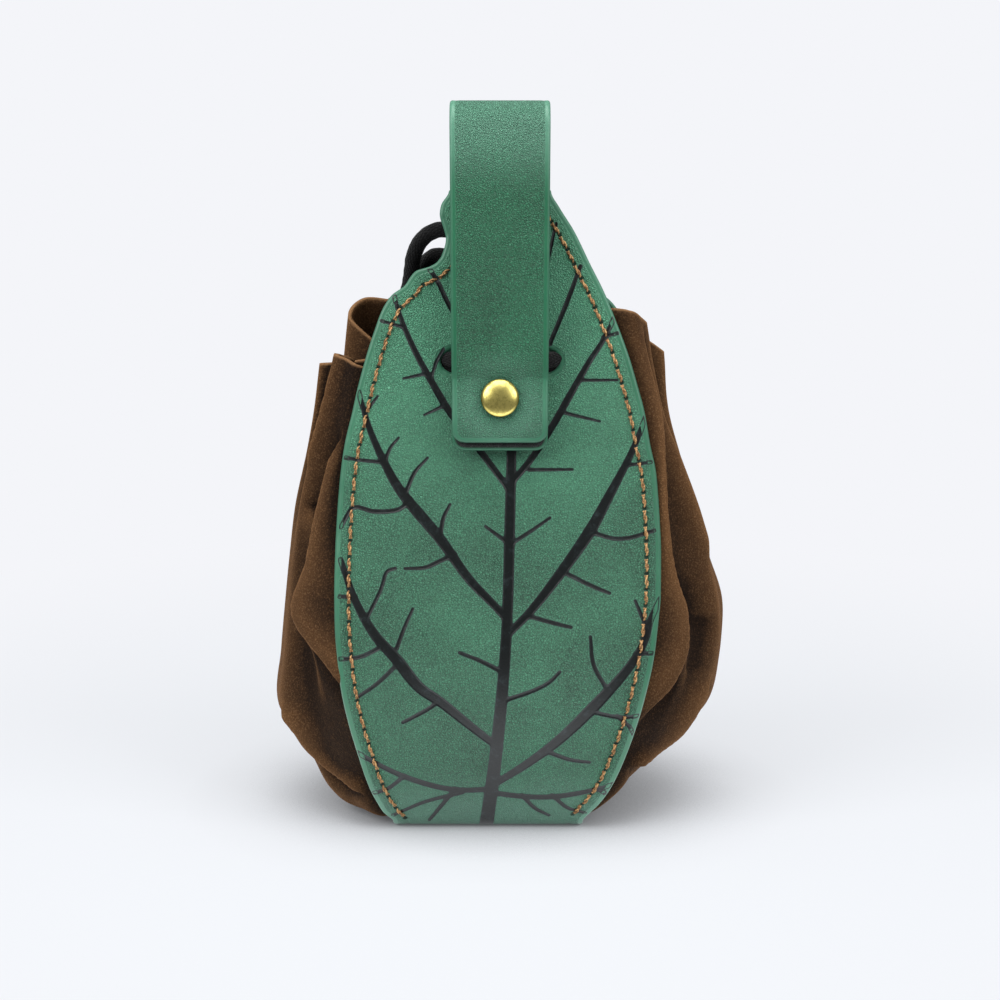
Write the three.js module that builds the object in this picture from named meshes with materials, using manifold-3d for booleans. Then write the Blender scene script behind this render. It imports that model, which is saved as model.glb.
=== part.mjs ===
// Leather belt bag: a leaf-shaped strip with gathered suede sides, a drawstring and a snapped belt loop.
// Millimetres, +Z up, +X to the viewer's right, front towards -Y, origin under the middle of the base.

import * as THREE from 'three';
import { mergeVertices } from 'three/addons/utils/BufferGeometryUtils.js';
import Module from 'manifold-3d';

const wasm = await Module();
wasm.setup();

// Leather and suede
const leather = 1.8; // thickness of the green leather
const suede = 1.2; // thickness of the suede
const seat = 0.3; // gap left between pieces that touch
const cutMargin = 1; // how far a cut runs past the faces it opens

// Side profile of the leaf strip, the same at the front and the rear
const baseDepth = 61.6; // flat part of the base, front to rear
const toeRadius = 7; // bend from the base into the leaf
const toeAngle = 60; // degrees, slope at the top of that bend
const bellyRadius = 83; // swell of the leaf
const lean = 14; // degrees, upper part leans back from upright
const cup = 4; // how far the leaf's long edges curl back

// Outline of the leaf strip
const leafHalfWidth = 51.5;
const leafRise = 200.5; // height at which the leaf has narrowed to its stem
const rearRise = 172; // top of the rounded rear leaf
const rearShoulder = 148; // height at which the rear leaf starts to round off
const baseLeft = 32;
const baseRight = 27;

// Belt loop
const strapTopWidth = 31;
const strapEndWidth = 29.4;
const foldRadius = 5; // inside of the loop's top fold
const foldHeight = 219.3; // centre of the fold
const liningEnd = 121.6; // height of the leaf's face behind the lining's lower end
const facingShort = 2.8; // how much shorter the outer layer is
const facingTuck = 26; // outer layer's overlap down the back of the stem
const cornerRadius = 4;
const endGap = 2.8; // lining off the leaf at its lower end

// Snap
const snapHeight = 137; // on the leaf's face
const snapGap = 4.2; // between leaf and lining at the snap
const capRadius = 5.85;
const capRise = 1.7;
const postRadius = 1.9;
const socketRadius = 4.6;
const studRadius = 2.5;
const flangeRadius = 4.6;
const flangeThick = 0.8;
const neckInset = 0.7; // how much thinner the stud's neck is than its head
const headBevel = 0.4;
const capWall = 0.7; // brass left over the stud's head
const studPlay = 0.4;
const capRim = 0.5; // upright edge of the cap's dome
const snapSides = 24;

// Drawstring
const cordDiameter = 5;
const cordSides = 10;
const cordAboveSnap = 11.6;
const cordHeight = snapHeight + cordAboveSnap; // on the leaf's face, where the cord crosses it
const cordSteps = { run: 56, outerTail: 14, innerTail: 10 };
const holeClearance = 0.7;
const knotLength = 17;
const knotDiameter = 12.5;

// Gussets
const reach = 72.5; // how far the belly swells to each side
const bellyDepth = 48; // front to middle of the belly
const gussetHeight = 160;
const seamInset = 7; // suede sewn on behind the leaf's edge
const seamEdge = 1.6; // where it leaves the leaf, inside its edge
const seamSlack = 0.9; // how far it has lifted off the leaf there
const baseInset = 4; // suede sewn on above the base

const rad = THREE.MathUtils.degToRad;
const leanAngle = 90 + lean;

// Leaf edges: [height as a share of leafRise, distance from the middle as a share of leafHalfWidth]
const leftEdge = [
  [0.009, 0.664], [0.028, 0.722], [0.044, 0.752], [0.075, 0.802], [0.134, 0.868], [0.19, 0.925],
  [0.24, 0.963], [0.29, 0.985], [0.34, 1.0], [0.39, 1.003], [0.45, 0.998], [0.51, 0.986], [0.57, 0.966],
  [0.615, 0.94], [0.665, 0.893], [0.7, 0.862], [0.75, 0.808], [0.795, 0.75], [0.82, 0.712],
  [0.842, 0.655], [0.857, 0.575], [0.868, 0.546], [0.879, 0.507], [0.885, 0.43], [0.892, 0.382],
  [0.904, 0.35], [0.928, 0.327], [0.94, 0.338], [0.965, 0.365], [0.978, 0.357], [1.0, 0.309],
];
const rightEdge = [
  [0.009, 0.515], [0.028, 0.561], [0.044, 0.61], [0.075, 0.68], [0.134, 0.771], [0.19, 0.839],
  [0.24, 0.889], [0.29, 0.93], [0.34, 0.955], [0.39, 0.973], [0.45, 0.975], [0.51, 0.965], [0.57, 0.946],
  [0.615, 0.909], [0.665, 0.874], [0.7, 0.837], [0.75, 0.779], [0.8, 0.706], [0.845, 0.633],
  [0.89, 0.544], [0.94, 0.447], [0.975, 0.36], [1.0, 0.309],
];

// Folds of a gusset, from the front seam round to the rear seam. Each fold runs from the base up to the
// rim and has one row for each height: [out as a share of reach, back as a share of bellyDepth].
const foldHeights = [0.019, 0.053, 0.125, 0.206, 0.3125, 0.4125, 0.5125, 0.6125, 0.7125, 0.806];
const leftFolds = {
  frontLobe: {
    rim: 0.92, base: -0.5,
    path: [[0.52, -0.65], [0.58, -0.73], [0.64, -0.75], [0.71, -0.73], [0.79, -0.62], [0.88, -0.5],
      [0.82, -0.52], [0.76, -0.54], [0.7, -0.52], [0.66, -0.48], [0.62, -0.43]],
  },
  frontValley: {
    rim: 0.92, base: -0.4,
    path: [[0.59, -0.54], [0.66, -0.6], [0.73, -0.6], [0.8, -0.58], [0.81, -0.48], [0.83, -0.38],
      [0.79, -0.35], [0.76, -0.38], [0.73, -0.42], [0.7, -0.41], [0.66, -0.38]],
  },
  mainRidge: {
    rim: 0.922, base: -0.3,
    path: [[0.66, -0.42], [0.75, -0.44], [0.84, -0.42], [0.95, -0.375], [0.945, -0.31], [0.925, -0.27],
      [0.9, -0.25], [0.88, -0.26], [0.835, -0.29], [0.79, -0.3], [0.72, -0.29]],
  },
  pleatValley: {
    rim: 0.913, base: -0.19,
    path: [[0.68, -0.27], [0.77, -0.27], [0.87, -0.25], [0.985, -0.23], [0.97, -0.17], [0.95, -0.15],
      [0.925, -0.135], [0.88, -0.145], [0.8, -0.165], [0.73, -0.18], [0.64, -0.18]],
  },
  sideRidge: {
    rim: 0.91, base: -0.06,
    path: [[0.69, -0.1], [0.785, -0.08], [0.877, -0.06], [1.0, -0.04], [0.987, 0], [0.965, 0], [0.94, 0],
      [0.91, -0.02], [0.86, -0.04], [0.82, -0.05], [0.79, -0.06]],
  },
  rearValley: {
    rim: 0.95, base: 0.12,
    path: [[0.69, 0.1], [0.77, 0.125], [0.855, 0.165], [0.965, 0.165], [0.965, 0.19], [0.95, 0.19],
      [0.917, 0.165], [0.855, 0.125], [0.73, 0.08], [0.615, 0.06], [0.525, 0.04]],
  },
  rearRidge: {
    rim: 1.003, base: 0.31,
    path: [[0.65, 0.35], [0.72, 0.395], [0.785, 0.44], [0.87, 0.46], [0.9, 0.46], [0.895, 0.44],
      [0.875, 0.42], [0.84, 0.375], [0.785, 0.29], [0.725, 0.23], [0.67, 0.165]],
  },
  rearLobe: {
    rim: 1.0, base: 0.48,
    path: [[0.58, 0.56], [0.635, 0.645], [0.69, 0.73], [0.76, 0.79], [0.79, 0.79], [0.8, 0.75],
      [0.79, 0.69], [0.77, 0.6], [0.73, 0.5], [0.67, 0.42], [0.61, 0.31]],
  },
};
const rightFolds = {
  frontLobe: {
    rim: 1.013, base: -0.5,
    path: [[0.43, -0.625], [0.51, -0.71], [0.59, -0.75], [0.66, -0.75], [0.82, -0.625], [0.79, -0.6],
      [0.74, -0.61], [0.715, -0.58], [0.69, -0.52], [0.66, -0.46], [0.56, -0.4]],
  },
  frontValley: {
    rim: 1.01, base: -0.4,
    path: [[0.455, -0.52], [0.54, -0.58], [0.635, -0.6], [0.745, -0.625], [0.83, -0.5], [0.815, -0.42],
      [0.78, -0.44], [0.745, -0.43], [0.7, -0.42], [0.67, -0.385], [0.6, -0.345]],
  },
  mainRidge: {
    rim: 1.006, base: -0.3,
    path: [[0.48, -0.375], [0.57, -0.42], [0.69, -0.42], [0.855, -0.42], [0.94, -0.33], [0.96, -0.27],
      [0.91, -0.25], [0.85, -0.26], [0.77, -0.27], [0.7, -0.28], [0.63, -0.24]],
  },
  pleatValley: {
    rim: 0.988, base: -0.19,
    path: [[0.5, -0.23], [0.585, -0.23], [0.715, -0.23], [0.91, -0.23], [0.98, -0.165], [0.98, -0.125],
      [0.925, -0.125], [0.84, -0.125], [0.75, -0.135], [0.65, -0.135], [0.525, -0.125]],
  },
  sideRidge: {
    rim: 0.925, base: -0.06,
    path: [[0.505, -0.06], [0.595, -0.04], [0.73, -0.04], [0.94, -0.04], [0.987, 0], [1.0, 0.02],
      [0.93, 0.02], [0.865, 0], [0.8, 0], [0.745, 0], [0.72, 0.02]],
  },
  rearValley: {
    rim: 0.938, base: 0.12,
    path: [[0.5, 0.125], [0.59, 0.145], [0.725, 0.165], [0.917, 0.19], [0.97, 0.19], [0.97, 0.19],
      [0.91, 0.18], [0.81, 0.165], [0.69, 0.165], [0.59, 0.165], [0.54, 0.155]],
  },
  rearRidge: {
    rim: 0.975, base: 0.31,
    path: [[0.47, 0.35], [0.55, 0.42], [0.675, 0.46], [0.83, 0.48], [0.9, 0.48], [0.905, 0.46],
      [0.86, 0.43], [0.815, 0.385], [0.75, 0.345], [0.69, 0.31], [0.64, 0.28]],
  },
  rearLobe: {
    rim: 0.988, base: 0.48,
    path: [[0.435, 0.54], [0.5, 0.645], [0.59, 0.73], [0.69, 0.79], [0.77, 0.8], [0.79, 0.77],
      [0.78, 0.7], [0.75, 0.625], [0.7, 0.53], [0.65, 0.45], [0.585, 0.375]],
  },
};
const frontSeamTop = { left: 0.92, right: 1.013 };
const rearSeamTop = 0.988;

// Route of the drawstring: in through the left pleats, across the front, round the right side and the rear
const runRoute = [
  [-36.5, 13.5, 148.5], [-41.6, 10, 143.9], [-45, 3, 141.2], [-44.5, -5, 141], [-41, -11.5, 142.5],
  [-35, -14.5, 144.5], [-27.5, -15, 146.5], [-21.5, -17.2, 148], [-16.5, -22, 148.9], [-10.5, -26.2, 149.2],
  [-4, -27.3, 149.3], [4, -27.3, 149.3], [11.5, -26.4, 149.2], [17.8, -22.4, 149], [23, -17.4, 148.2],
  [29, -14.2, 147], [35.5, -11.5, 145.5], [40.5, -6, 143.5], [42.5, 1, 142], [41, 8, 142.5], [36, 13, 144.5],
  [29, 15, 146.5],
  [22.5, 17.2, 148], [17.5, 22, 148.9], [11.5, 26.2, 149.2], [4, 27.3, 149.3], [-4, 27.3, 149.3],
  [-10.5, 26.2, 149.2], [-15.6, 22.2, 149.1], [-18.8, 19.4, 150.6], [-21.4, 17.2, 153.2],
];
// The two free ends, which stand up behind the leaf and meet in one knot against its back
const outerTailRoute = [
  [-36.27, 13.66, 148.71], [-34.62, 14.8, 150.2], [-32.7, 15.2, 153.4], [-31.4, 13.8, 157.4],
  [-30.8, 10.6, 161.6], [-30, 6.8, 165.8], [-28.9, 2.6, 170], [-28.1, -1, 174.8], [-27.3, -4, 179.4],
  [-24.9, -6.2, 184.4], [-20.6, -8, 187.6], [-15, -9, 187.9], [-9.5, -9.6, 185.2], [-6.2, -9.6, 180.8],
];
const innerTailRoute = [
  [-21.62, 17.02, 153.41], [-23.1, 15.75, 154.9], [-24.6, 13.9, 157.6], [-25.2, 12.4, 161.2],
  [-25.3, 10.4, 166], [-25, 7.4, 171.5], [-23.8, 4.2, 176.2], [-20.4, 1.2, 178.9], [-15.8, -2.2, 178.4],
  [-11.2, -5.6, 176.4], [-8, -8.2, 174.6],
];
const knotPlace = [1.8, -9.2, 176.4];

// Shared shapes

// Smooth curve through [x, value] rows, read at one x
function readTable(rows, x) {
  const last = rows.length - 1;
  if (x <= rows[0][0]) return rows[0][1];
  if (x >= rows[last][0]) return rows[last][1];
  let i = 0;
  while (x > rows[i + 1][0]) i += 1;
  const slope = (k) => {
    if (k < 0 || k >= last) return 0;
    return (rows[k + 1][1] - rows[k][1]) / (rows[k + 1][0] - rows[k][0]);
  };
  const tangent = (k) => {
    const before = slope(k - 1);
    const after = slope(k);
    return before * after <= 0 ? 0 : (2 * before * after) / (before + after);
  };
  const width = rows[i + 1][0] - rows[i][0];
  const t = (x - rows[i][0]) / width;
  const startPart = (1 + 2 * t) * (1 - t) ** 2 * rows[i][1] + t * (1 - t) ** 2 * width * tangent(i);
  const endPart = t * t * (3 - 2 * t) * rows[i + 1][1] + t * t * (t - 1) * width * tangent(i + 1);
  return startPart + endPart;
}

// Closed body between two grids of points with the same rows and columns
function shellBetween(front, back) {
  const rows = front.length;
  const columns = front[0].length;
  const points = [...front.flat(), ...back.flat()];
  const at = (side, r, c) => side * rows * columns + r * columns + c;
  const index = [];
  const quad = (a, b, c, d) => index.push(a, b, c, a, c, d);
  for (let r = 0; r < rows - 1; r += 1) {
    for (let c = 0; c < columns - 1; c += 1) {
      quad(at(0, r, c), at(0, r, c + 1), at(0, r + 1, c + 1), at(0, r + 1, c));
      quad(at(1, r, c), at(1, r + 1, c), at(1, r + 1, c + 1), at(1, r, c + 1));
    }
    quad(at(0, r, 0), at(0, r + 1, 0), at(1, r + 1, 0), at(1, r, 0));
    quad(at(0, r, columns - 1), at(1, r, columns - 1), at(1, r + 1, columns - 1), at(0, r + 1, columns - 1));
  }
  for (let c = 0; c < columns - 1; c += 1) {
    quad(at(0, 0, c), at(1, 0, c), at(1, 0, c + 1), at(0, 0, c + 1));
    quad(at(0, rows - 1, c), at(0, rows - 1, c + 1), at(1, rows - 1, c + 1), at(1, rows - 1, c));
  }
  const geometry = new THREE.BufferGeometry();
  geometry.setAttribute('position', new THREE.Float32BufferAttribute(points.flatMap((p) => p.toArray()), 3));
  geometry.setIndex(index);
  return facesOut(geometry);
}

function signedVolume(geometry) {
  const place = geometry.attributes.position;
  const corner = [new THREE.Vector3(), new THREE.Vector3(), new THREE.Vector3()];
  let sum = 0;
  for (let i = 0; i < geometry.index.count; i += 3) {
    corner.forEach((p, k) => p.fromBufferAttribute(place, geometry.index.getX(i + k)));
    sum += corner[0].dot(corner[1].clone().cross(corner[2]));
  }
  return sum / 6;
}

function facesOut(geometry) {
  if (signedVolume(geometry) < 0) {
    const turned = [];
    for (let i = 0; i < geometry.index.count; i += 3) {
      turned.push(geometry.index.getX(i), geometry.index.getX(i + 2), geometry.index.getX(i + 1));
    }
    geometry.setIndex(turned);
  }
  return geometry;
}

// The same faces on shared corners
function joined(geometry) {
  const bare = geometry.clone();
  bare.deleteAttribute('normal');
  bare.deleteAttribute('uv');
  return mergeVertices(bare, 1e-4);
}

function toSolid(geometry) {
  const merged = joined(geometry);
  const mesh = new wasm.Mesh({
    numProp: 3,
    vertProperties: new Float32Array(merged.attributes.position.array),
    triVerts: new Uint32Array(merged.index.array),
  });
  return new wasm.Manifold(mesh);
}

function toGeometry(solid) {
  const mesh = solid.getMesh();
  const geometry = new THREE.BufferGeometry();
  geometry.setAttribute('position', new THREE.BufferAttribute(new Float32Array(mesh.vertProperties), 3));
  geometry.setIndex(new THREE.BufferAttribute(new Uint32Array(mesh.triVerts), 1));
  return geometry;
}

function cutAway(geometry, cutters) {
  return toGeometry(cutters.reduce((left, cutter) => left.subtract(toSolid(cutter)), toSolid(geometry)));
}

function cordTube(route, diameter, steps) {
  const curve = new THREE.CatmullRomCurve3(route.map((p) => new THREE.Vector3(...p)), false, 'centripetal');
  const section = new THREE.Shape();
  section.absarc(0, 0, diameter / 2, 0, 2 * Math.PI);
  const options = { steps, curveSegments: cordSides / 2, extrudePath: curve, bevelEnabled: false };
  return new THREE.ExtrudeGeometry(section, options);
}

function turned(profile, sides) {
  return new THREE.LatheGeometry(profile.map((p) => new THREE.Vector2(...p)), sides);
}

function turnedSolid(profile) {
  return facesOut(joined(turned(profile, snapSides)));
}

function finish(name, geometry, look) {
  const mesh = new THREE.Mesh(geometry, new THREE.MeshStandardMaterial(look));
  mesh.name = name;
  return mesh;
}

// Side profile of the leaf's front face: place, and slope in radians, at a height
const toeTop = toeRadius * (1 - Math.cos(rad(toeAngle)));

function profileAt(height) {
  const toeFront = -baseDepth / 2 - toeRadius * Math.sin(rad(toeAngle));
  const bellyTop = toeTop + bellyRadius * (Math.cos(rad(toeAngle)) - Math.cos(rad(leanAngle)));
  if (height <= toeTop) {
    const slope = Math.acos(1 - Math.max(height, 0) / toeRadius);
    return { y: -baseDepth / 2 - toeRadius * Math.sin(slope), z: height, slope };
  }
  const arc = (slope) => toeFront - bellyRadius * (Math.sin(slope) - Math.sin(rad(toeAngle)));
  if (height <= bellyTop) {
    const slope = Math.acos(Math.cos(rad(toeAngle)) - (height - toeTop) / bellyRadius);
    return { y: arc(slope), z: height, slope };
  }
  const slope = rad(leanAngle);
  return { y: arc(slope) + (height - bellyTop) * Math.tan(rad(lean)), z: height, slope };
}

// How far the leaf's face lies behind its profile at a distance x from the middle
function curlBack(x, height) {
  const rise = THREE.MathUtils.smoothstep(height, 0, 0.2 * leafRise);
  const fade = 1 - THREE.MathUtils.smoothstep(height, 0.5 * leafRise, 0.82 * leafRise);
  return cup * (x / leafHalfWidth) ** 2 * rise * fade;
}

// Point of the front leaf, a depth in from its front face; rear = -1 gives the rear leaf
function leafPoint(x, height, depth, rear = 1) {
  const { y, z, slope } = profileAt(height);
  const inY = y + curlBack(x, height) + depth * Math.sin(slope);
  return new THREE.Vector3(x, rear * inY, z + depth * Math.cos(slope));
}

function edgeAt(side, height) {
  const table = side < 0 ? leftEdge : rightEdge;
  return leafHalfWidth * readTable(table, height / leafRise);
}

function rearEdgeAt(side, height) {
  if (height <= rearShoulder) return edgeAt(side, height);
  const up = Math.min((height - rearShoulder) / (rearRise - rearShoulder), 1);
  return edgeAt(side, rearShoulder) * Math.max(Math.sqrt(1 - up ** 3), 0.12);
}

function spaced(from, to, count) {
  return Array.from({ length: count }, (unused, i) => from + ((to - from) * i) / (count - 1));
}

// Leaf strip: front leaf with its stem, base and rear leaf, in one piece
const stemTop = foldHeight - foldRadius * Math.sin(rad(lean));
const columns = 6;
const rowGap = 4.5; // from a bend or a change of width to the next row

function stripRow(left, right, pointAt) {
  const xs = spaced(-left, right, columns + 1);
  return { front: xs.map((x) => pointAt(x, 0)), back: xs.map((x) => pointAt(x, leather)) };
}

function leafStrip() {
  const toe = spaced(0.07 * toeTop, toeTop, 4);
  const lowHeights = spaced(toeTop + rowGap, 0.82 * leafRise, 18);
  const tipHeights = spaced(0.832 * leafRise, leafRise, 15);
  const stemHeights = spaced(leafRise + rowGap, stemTop, 3);
  const frontRows = [...toe, ...lowHeights, ...tipHeights].map((height) => {
    return stripRow(edgeAt(-1, height), edgeAt(1, height), (x, depth) => leafPoint(x, height, depth));
  });
  const stemRows = stemHeights.map((height) => {
    const half = strapTopWidth / 2;
    return stripRow(half, half, (x, depth) => leafPoint(x, height, depth));
  });
  const rearTips = spaced(rearShoulder + rowGap, rearRise, 7);
  const rearHeights = [...toe, ...spaced(toeTop + rowGap, rearShoulder, 13), ...rearTips];
  const rearRows = rearHeights.map((height) => {
    const widths = [rearEdgeAt(-1, height), rearEdgeAt(1, height)];
    return stripRow(...widths, (x, depth) => leafPoint(x, height, depth, -1));
  });
  const baseRows = [baseDepth / 2, -baseDepth / 2].map((y) => {
    return stripRow(baseLeft, baseRight, (x, depth) => new THREE.Vector3(x, y, depth));
  });
  const rows = [...rearRows.reverse(), ...baseRows, ...frontRows, ...stemRows];
  const shell = shellBetween(rows.map((row) => row.front), rows.map((row) => row.back));
  const studBore = snapBore(studRadius - neckInset + seat, -leather - cutMargin, cutMargin);
  return cutAway(shell, [cordClearance(), studBore]);
}

// Belt loop: the inner face of the lining, from the stem over the fold and down to its lower end
const slotNormal = { y: -Math.cos(rad(lean)), z: Math.sin(rad(lean)) };
const alongLeaf = (height) => (stemTop - height) / Math.cos(rad(lean));
const gapTable = [
  [0, 2 * foldRadius],
  [0.45 * alongLeaf(cordHeight), 1.8 * foldRadius],
  [alongLeaf(cordHeight) - cordDiameter, 1.15 * cordDiameter + 2 * seat],
  [alongLeaf(cordHeight) + cordDiameter / 4, cordDiameter + 2 * seat],
  [alongLeaf(snapHeight) - capRadius, snapGap],
  [alongLeaf(snapHeight) + capRadius, snapGap],
  [alongLeaf(liningEnd), endGap],
];

function loopPath(startDown, endDown) {
  const path = [];
  const stem = profileAt(stemTop);
  if (startDown > 0) {
    spaced(startDown, startDown / 4, 4).forEach((down) => {
      const place = profileAt(stemTop - down * Math.cos(rad(lean)));
      path.push({ y: place.y, z: place.z, down: 0 });
    });
  }
  const centre = { y: stem.y + foldRadius * slotNormal.y, z: stem.z + foldRadius * slotNormal.z };
  spaced(startDown > 0 ? leanAngle : leanAngle - 4, leanAngle - 180, 13).forEach((angle) => {
    const turn = rad(angle);
    const y = centre.y + foldRadius * Math.sin(turn);
    path.push({ y, z: centre.z + foldRadius * Math.cos(turn), down: 0 });
  });
  spaced(0, endDown, 27).slice(1).forEach((down) => {
    const gap = readTable(gapTable, down);
    const y = stem.y - down * Math.sin(rad(lean)) + gap * slotNormal.y;
    const z = stem.z - down * Math.cos(rad(lean)) + gap * slotNormal.z;
    path.push({ y, z, down });
  });
  return path;
}

function strapHalfWidth(down, endDown) {
  const half = THREE.MathUtils.lerp(strapTopWidth, strapEndWidth, down / endDown) / 2;
  const fromEnd = endDown - down;
  if (fromEnd >= cornerRadius) return half;
  return half - cornerRadius + Math.sqrt(cornerRadius ** 2 - (cornerRadius - fromEnd) ** 2);
}

function strapLayer(startDown, endDown, inner) {
  const path = loopPath(startDown, endDown);
  const near = [];
  const far = [];
  path.forEach((place, i) => {
    const before = path[Math.max(i - 1, 0)];
    const after = path[Math.min(i + 1, path.length - 1)];
    const along = new THREE.Vector2(after.y - before.y, after.z - before.z).normalize();
    const half = strapHalfWidth(place.down, endDown);
    const row = (depth) => spaced(-half, half, 5).map((x) => {
      return new THREE.Vector3(x, place.y + depth * along.y, place.z - depth * along.x);
    });
    near.push(row(inner));
    far.push(row(inner + leather));
  });
  const strapFace = snapGap + 2 * leather + 2 * seat;
  const postBore = snapBore(postRadius + seat, snapGap - cutMargin, strapFace + cutMargin);
  return cutAway(shellBetween(near, far), [postBore]);
}

// Snap: turned parts on one axis square to the leaf's face
function onSnapAxis(geometry) {
  const leaf = profileAt(snapHeight);
  geometry.rotateX(Math.PI - rad(lean));
  geometry.translate(0, leaf.y, leaf.z);
  return geometry;
}

function snapBore(radius, from, to) {
  return onSnapAxis(turned([[0, from], [radius, from], [radius, to], [0, to]], snapSides));
}

function snapCap() {
  const strapFace = snapGap + 2 * leather + 2 * seat;
  const ringFoot = seat;
  const ringTop = snapGap - seat;
  const wellRadius = studRadius + seat;
  const wellRoof = ringTop - capWall;
  const dome = spaced(0, Math.PI / 2, 6).map((turn) => {
    return [capRadius * Math.cos(turn), strapFace + capRim + (capRise - capRim) * Math.sin(turn)];
  });
  dome[dome.length - 1][0] = 0;
  const profile = [
    [0, wellRoof], [wellRadius, wellRoof], [wellRadius, ringFoot], [socketRadius, ringFoot],
    [socketRadius, ringTop], [postRadius, ringTop], [postRadius, strapFace], [capRadius, strapFace], ...dome,
  ];
  return onSnapAxis(turnedSolid(profile));
}

function snapStud() {
  const shank = studRadius - neckInset;
  const back = -leather - seat;
  const top = snapGap - seat - capWall - studPlay;
  const profile = [
    [0, back - flangeThick], [flangeRadius, back - flangeThick], [flangeRadius, back], [shank, back],
    [shank, seat], [studRadius, seat + headBevel], [studRadius, top], [0, top],
  ];
  return onSnapAxis(turnedSolid(profile));
}

// Gusset: a smooth sheet through its folds, sewn behind both leaf edges and above the base
function seamPoint(side, height, inset, rear) {
  const edge = rear < 0 ? rearEdgeAt(side, height) : edgeAt(side, height);
  const depth = leather + seat + suede / 2 + (inset < seamInset ? seamSlack : seat);
  return leafPoint(side * (edge - inset), height, depth, rear);
}

function gussetControl(side, folds, frontTop) {
  const baseEdge = (side < 0 ? baseLeft : baseRight) - baseInset;
  const onBase = leather + 2 * seat + suede / 2;
  const flat = (y) => new THREE.Vector3(side * baseEdge, y, onBase);
  const lines = Object.values(folds);
  const halfBase = baseDepth / 2 - seat;
  const rows = [[
    flat(-halfBase), flat(-0.93 * halfBase), ...lines.map((fold) => flat(fold.base * bellyDepth)),
    flat(0.93 * halfBase), flat(halfBase),
  ]];
  for (let r = 0; r <= foldHeights.length; r += 1) {
    const atRim = r === foldHeights.length;
    const share = Math.max(foldHeights[r], 0.03);
    const front = gussetHeight * (atRim ? frontTop : share);
    const rear = gussetHeight * (atRim ? rearSeamTop : share);
    rows.push([
      seamPoint(side, front, seamInset, 1), seamPoint(side, front, seamEdge, 1),
      ...lines.map(({ rim, path }) => {
        const [out, back] = path[r];
        const up = atRim ? rim : foldHeights[r];
        return new THREE.Vector3(side * reach * out, bellyDepth * back, gussetHeight * up);
      }),
      seamPoint(side, rear, seamEdge, -1), seamPoint(side, rear, seamInset, -1),
    ]);
  }
  return rows;
}

// Points along a smooth curve through the given ones, with the same number of steps in each span
function through(points, steps) {
  const curve = new THREE.CatmullRomCurve3(points, false, 'centripetal');
  return spaced(0, 1, (points.length - 1) * steps + 1).map((share) => curve.getPoint(share));
}

function sheetNormals(grid) {
  return grid.map((row, r) => row.map((unused, c) => {
    const up = grid[Math.min(r + 1, grid.length - 1)][c].clone().sub(grid[Math.max(r - 1, 0)][c]);
    const across = row[Math.min(c + 1, row.length - 1)].clone().sub(row[Math.max(c - 1, 0)]);
    return across.cross(up).normalize();
  }));
}

function gusset(side, folds, frontTop) {
  const widened = gussetControl(side, folds, frontTop).map((row) => through(row, 2));
  const tall = widened[0].map((unused, c) => through(widened.map((row) => row[c]), 2));
  const grid = tall[0].map((unused, r) => tall.map((line) => line[r]));
  const normals = sheetNormals(grid);
  const offset = (amount) => grid.map((row, r) => row.map((p, c) => {
    return p.clone().addScaledVector(normals[r][c], amount);
  }));
  return cutAway(shellBetween(offset(suede / 2), offset(-suede / 2)), [cordClearance()]);
}

// Drawstring
function cordClearance() {
  return cordTube(runRoute, cordDiameter + 2 * holeClearance, cordSteps.run);
}

function knot() {
  const ball = new THREE.SphereGeometry(0.5, 12, 8);
  ball.scale(knotLength, knotDiameter, knotDiameter);
  ball.translate(...knotPlace);
  return ball;
}

const green = { color: 0x4c8168, roughness: 0.55, metalness: 0 };
const brown = { color: 0x46321f, roughness: 0.95, metalness: 0 };
const black = { color: 0x151615, roughness: 0.9, metalness: 0 };
const brass = { color: 0x847b41, roughness: 0.38, metalness: 1 };

const bag = new THREE.Group();
const liningLength = alongLeaf(liningEnd);
bag.add(
  finish('leaf_panel', leafStrip(), green),
  finish('strap_lining', strapLayer(0, liningLength, 0), green),
  finish('strap_facing', strapLayer(facingTuck, liningLength - facingShort, leather + seat), green),
  finish('snap_cap', snapCap(), brass),
  finish('snap_stud', snapStud(), brass),
  finish('gusset_left', gusset(-1, leftFolds, frontSeamTop.left), brown),
  finish('gusset_right', gusset(1, rightFolds, frontSeamTop.right), brown),
  finish('drawstring_run', cordTube(runRoute, cordDiameter, cordSteps.run), black),
  finish('drawstring_outer_tail', cordTube(outerTailRoute, cordDiameter, cordSteps.outerTail), black),
  finish('drawstring_inner_tail', cordTube(innerTailRoute, cordDiameter, cordSteps.innerTail), black),
  finish('drawstring_knot', knot(), black),
);

export default bag;
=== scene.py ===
import math

import bmesh
import bpy
import numpy as np
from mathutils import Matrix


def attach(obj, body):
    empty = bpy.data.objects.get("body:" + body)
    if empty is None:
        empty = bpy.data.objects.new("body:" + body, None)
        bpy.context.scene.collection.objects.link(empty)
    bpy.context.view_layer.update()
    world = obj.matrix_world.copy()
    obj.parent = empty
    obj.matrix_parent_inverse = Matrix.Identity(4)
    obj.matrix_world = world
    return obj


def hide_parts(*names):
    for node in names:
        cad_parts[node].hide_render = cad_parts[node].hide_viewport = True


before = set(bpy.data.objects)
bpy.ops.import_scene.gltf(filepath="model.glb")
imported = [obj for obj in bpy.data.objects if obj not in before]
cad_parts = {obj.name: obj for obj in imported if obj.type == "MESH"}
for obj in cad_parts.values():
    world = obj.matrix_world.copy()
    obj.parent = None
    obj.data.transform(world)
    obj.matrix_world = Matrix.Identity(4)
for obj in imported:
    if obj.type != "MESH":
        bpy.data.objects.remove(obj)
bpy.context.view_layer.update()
scene = bpy.context.scene
print("frame loaded, nodes:", len(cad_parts))

# Lengths below are in millimetres on the bag; meshes are written in metres
mm = 0.001

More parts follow.
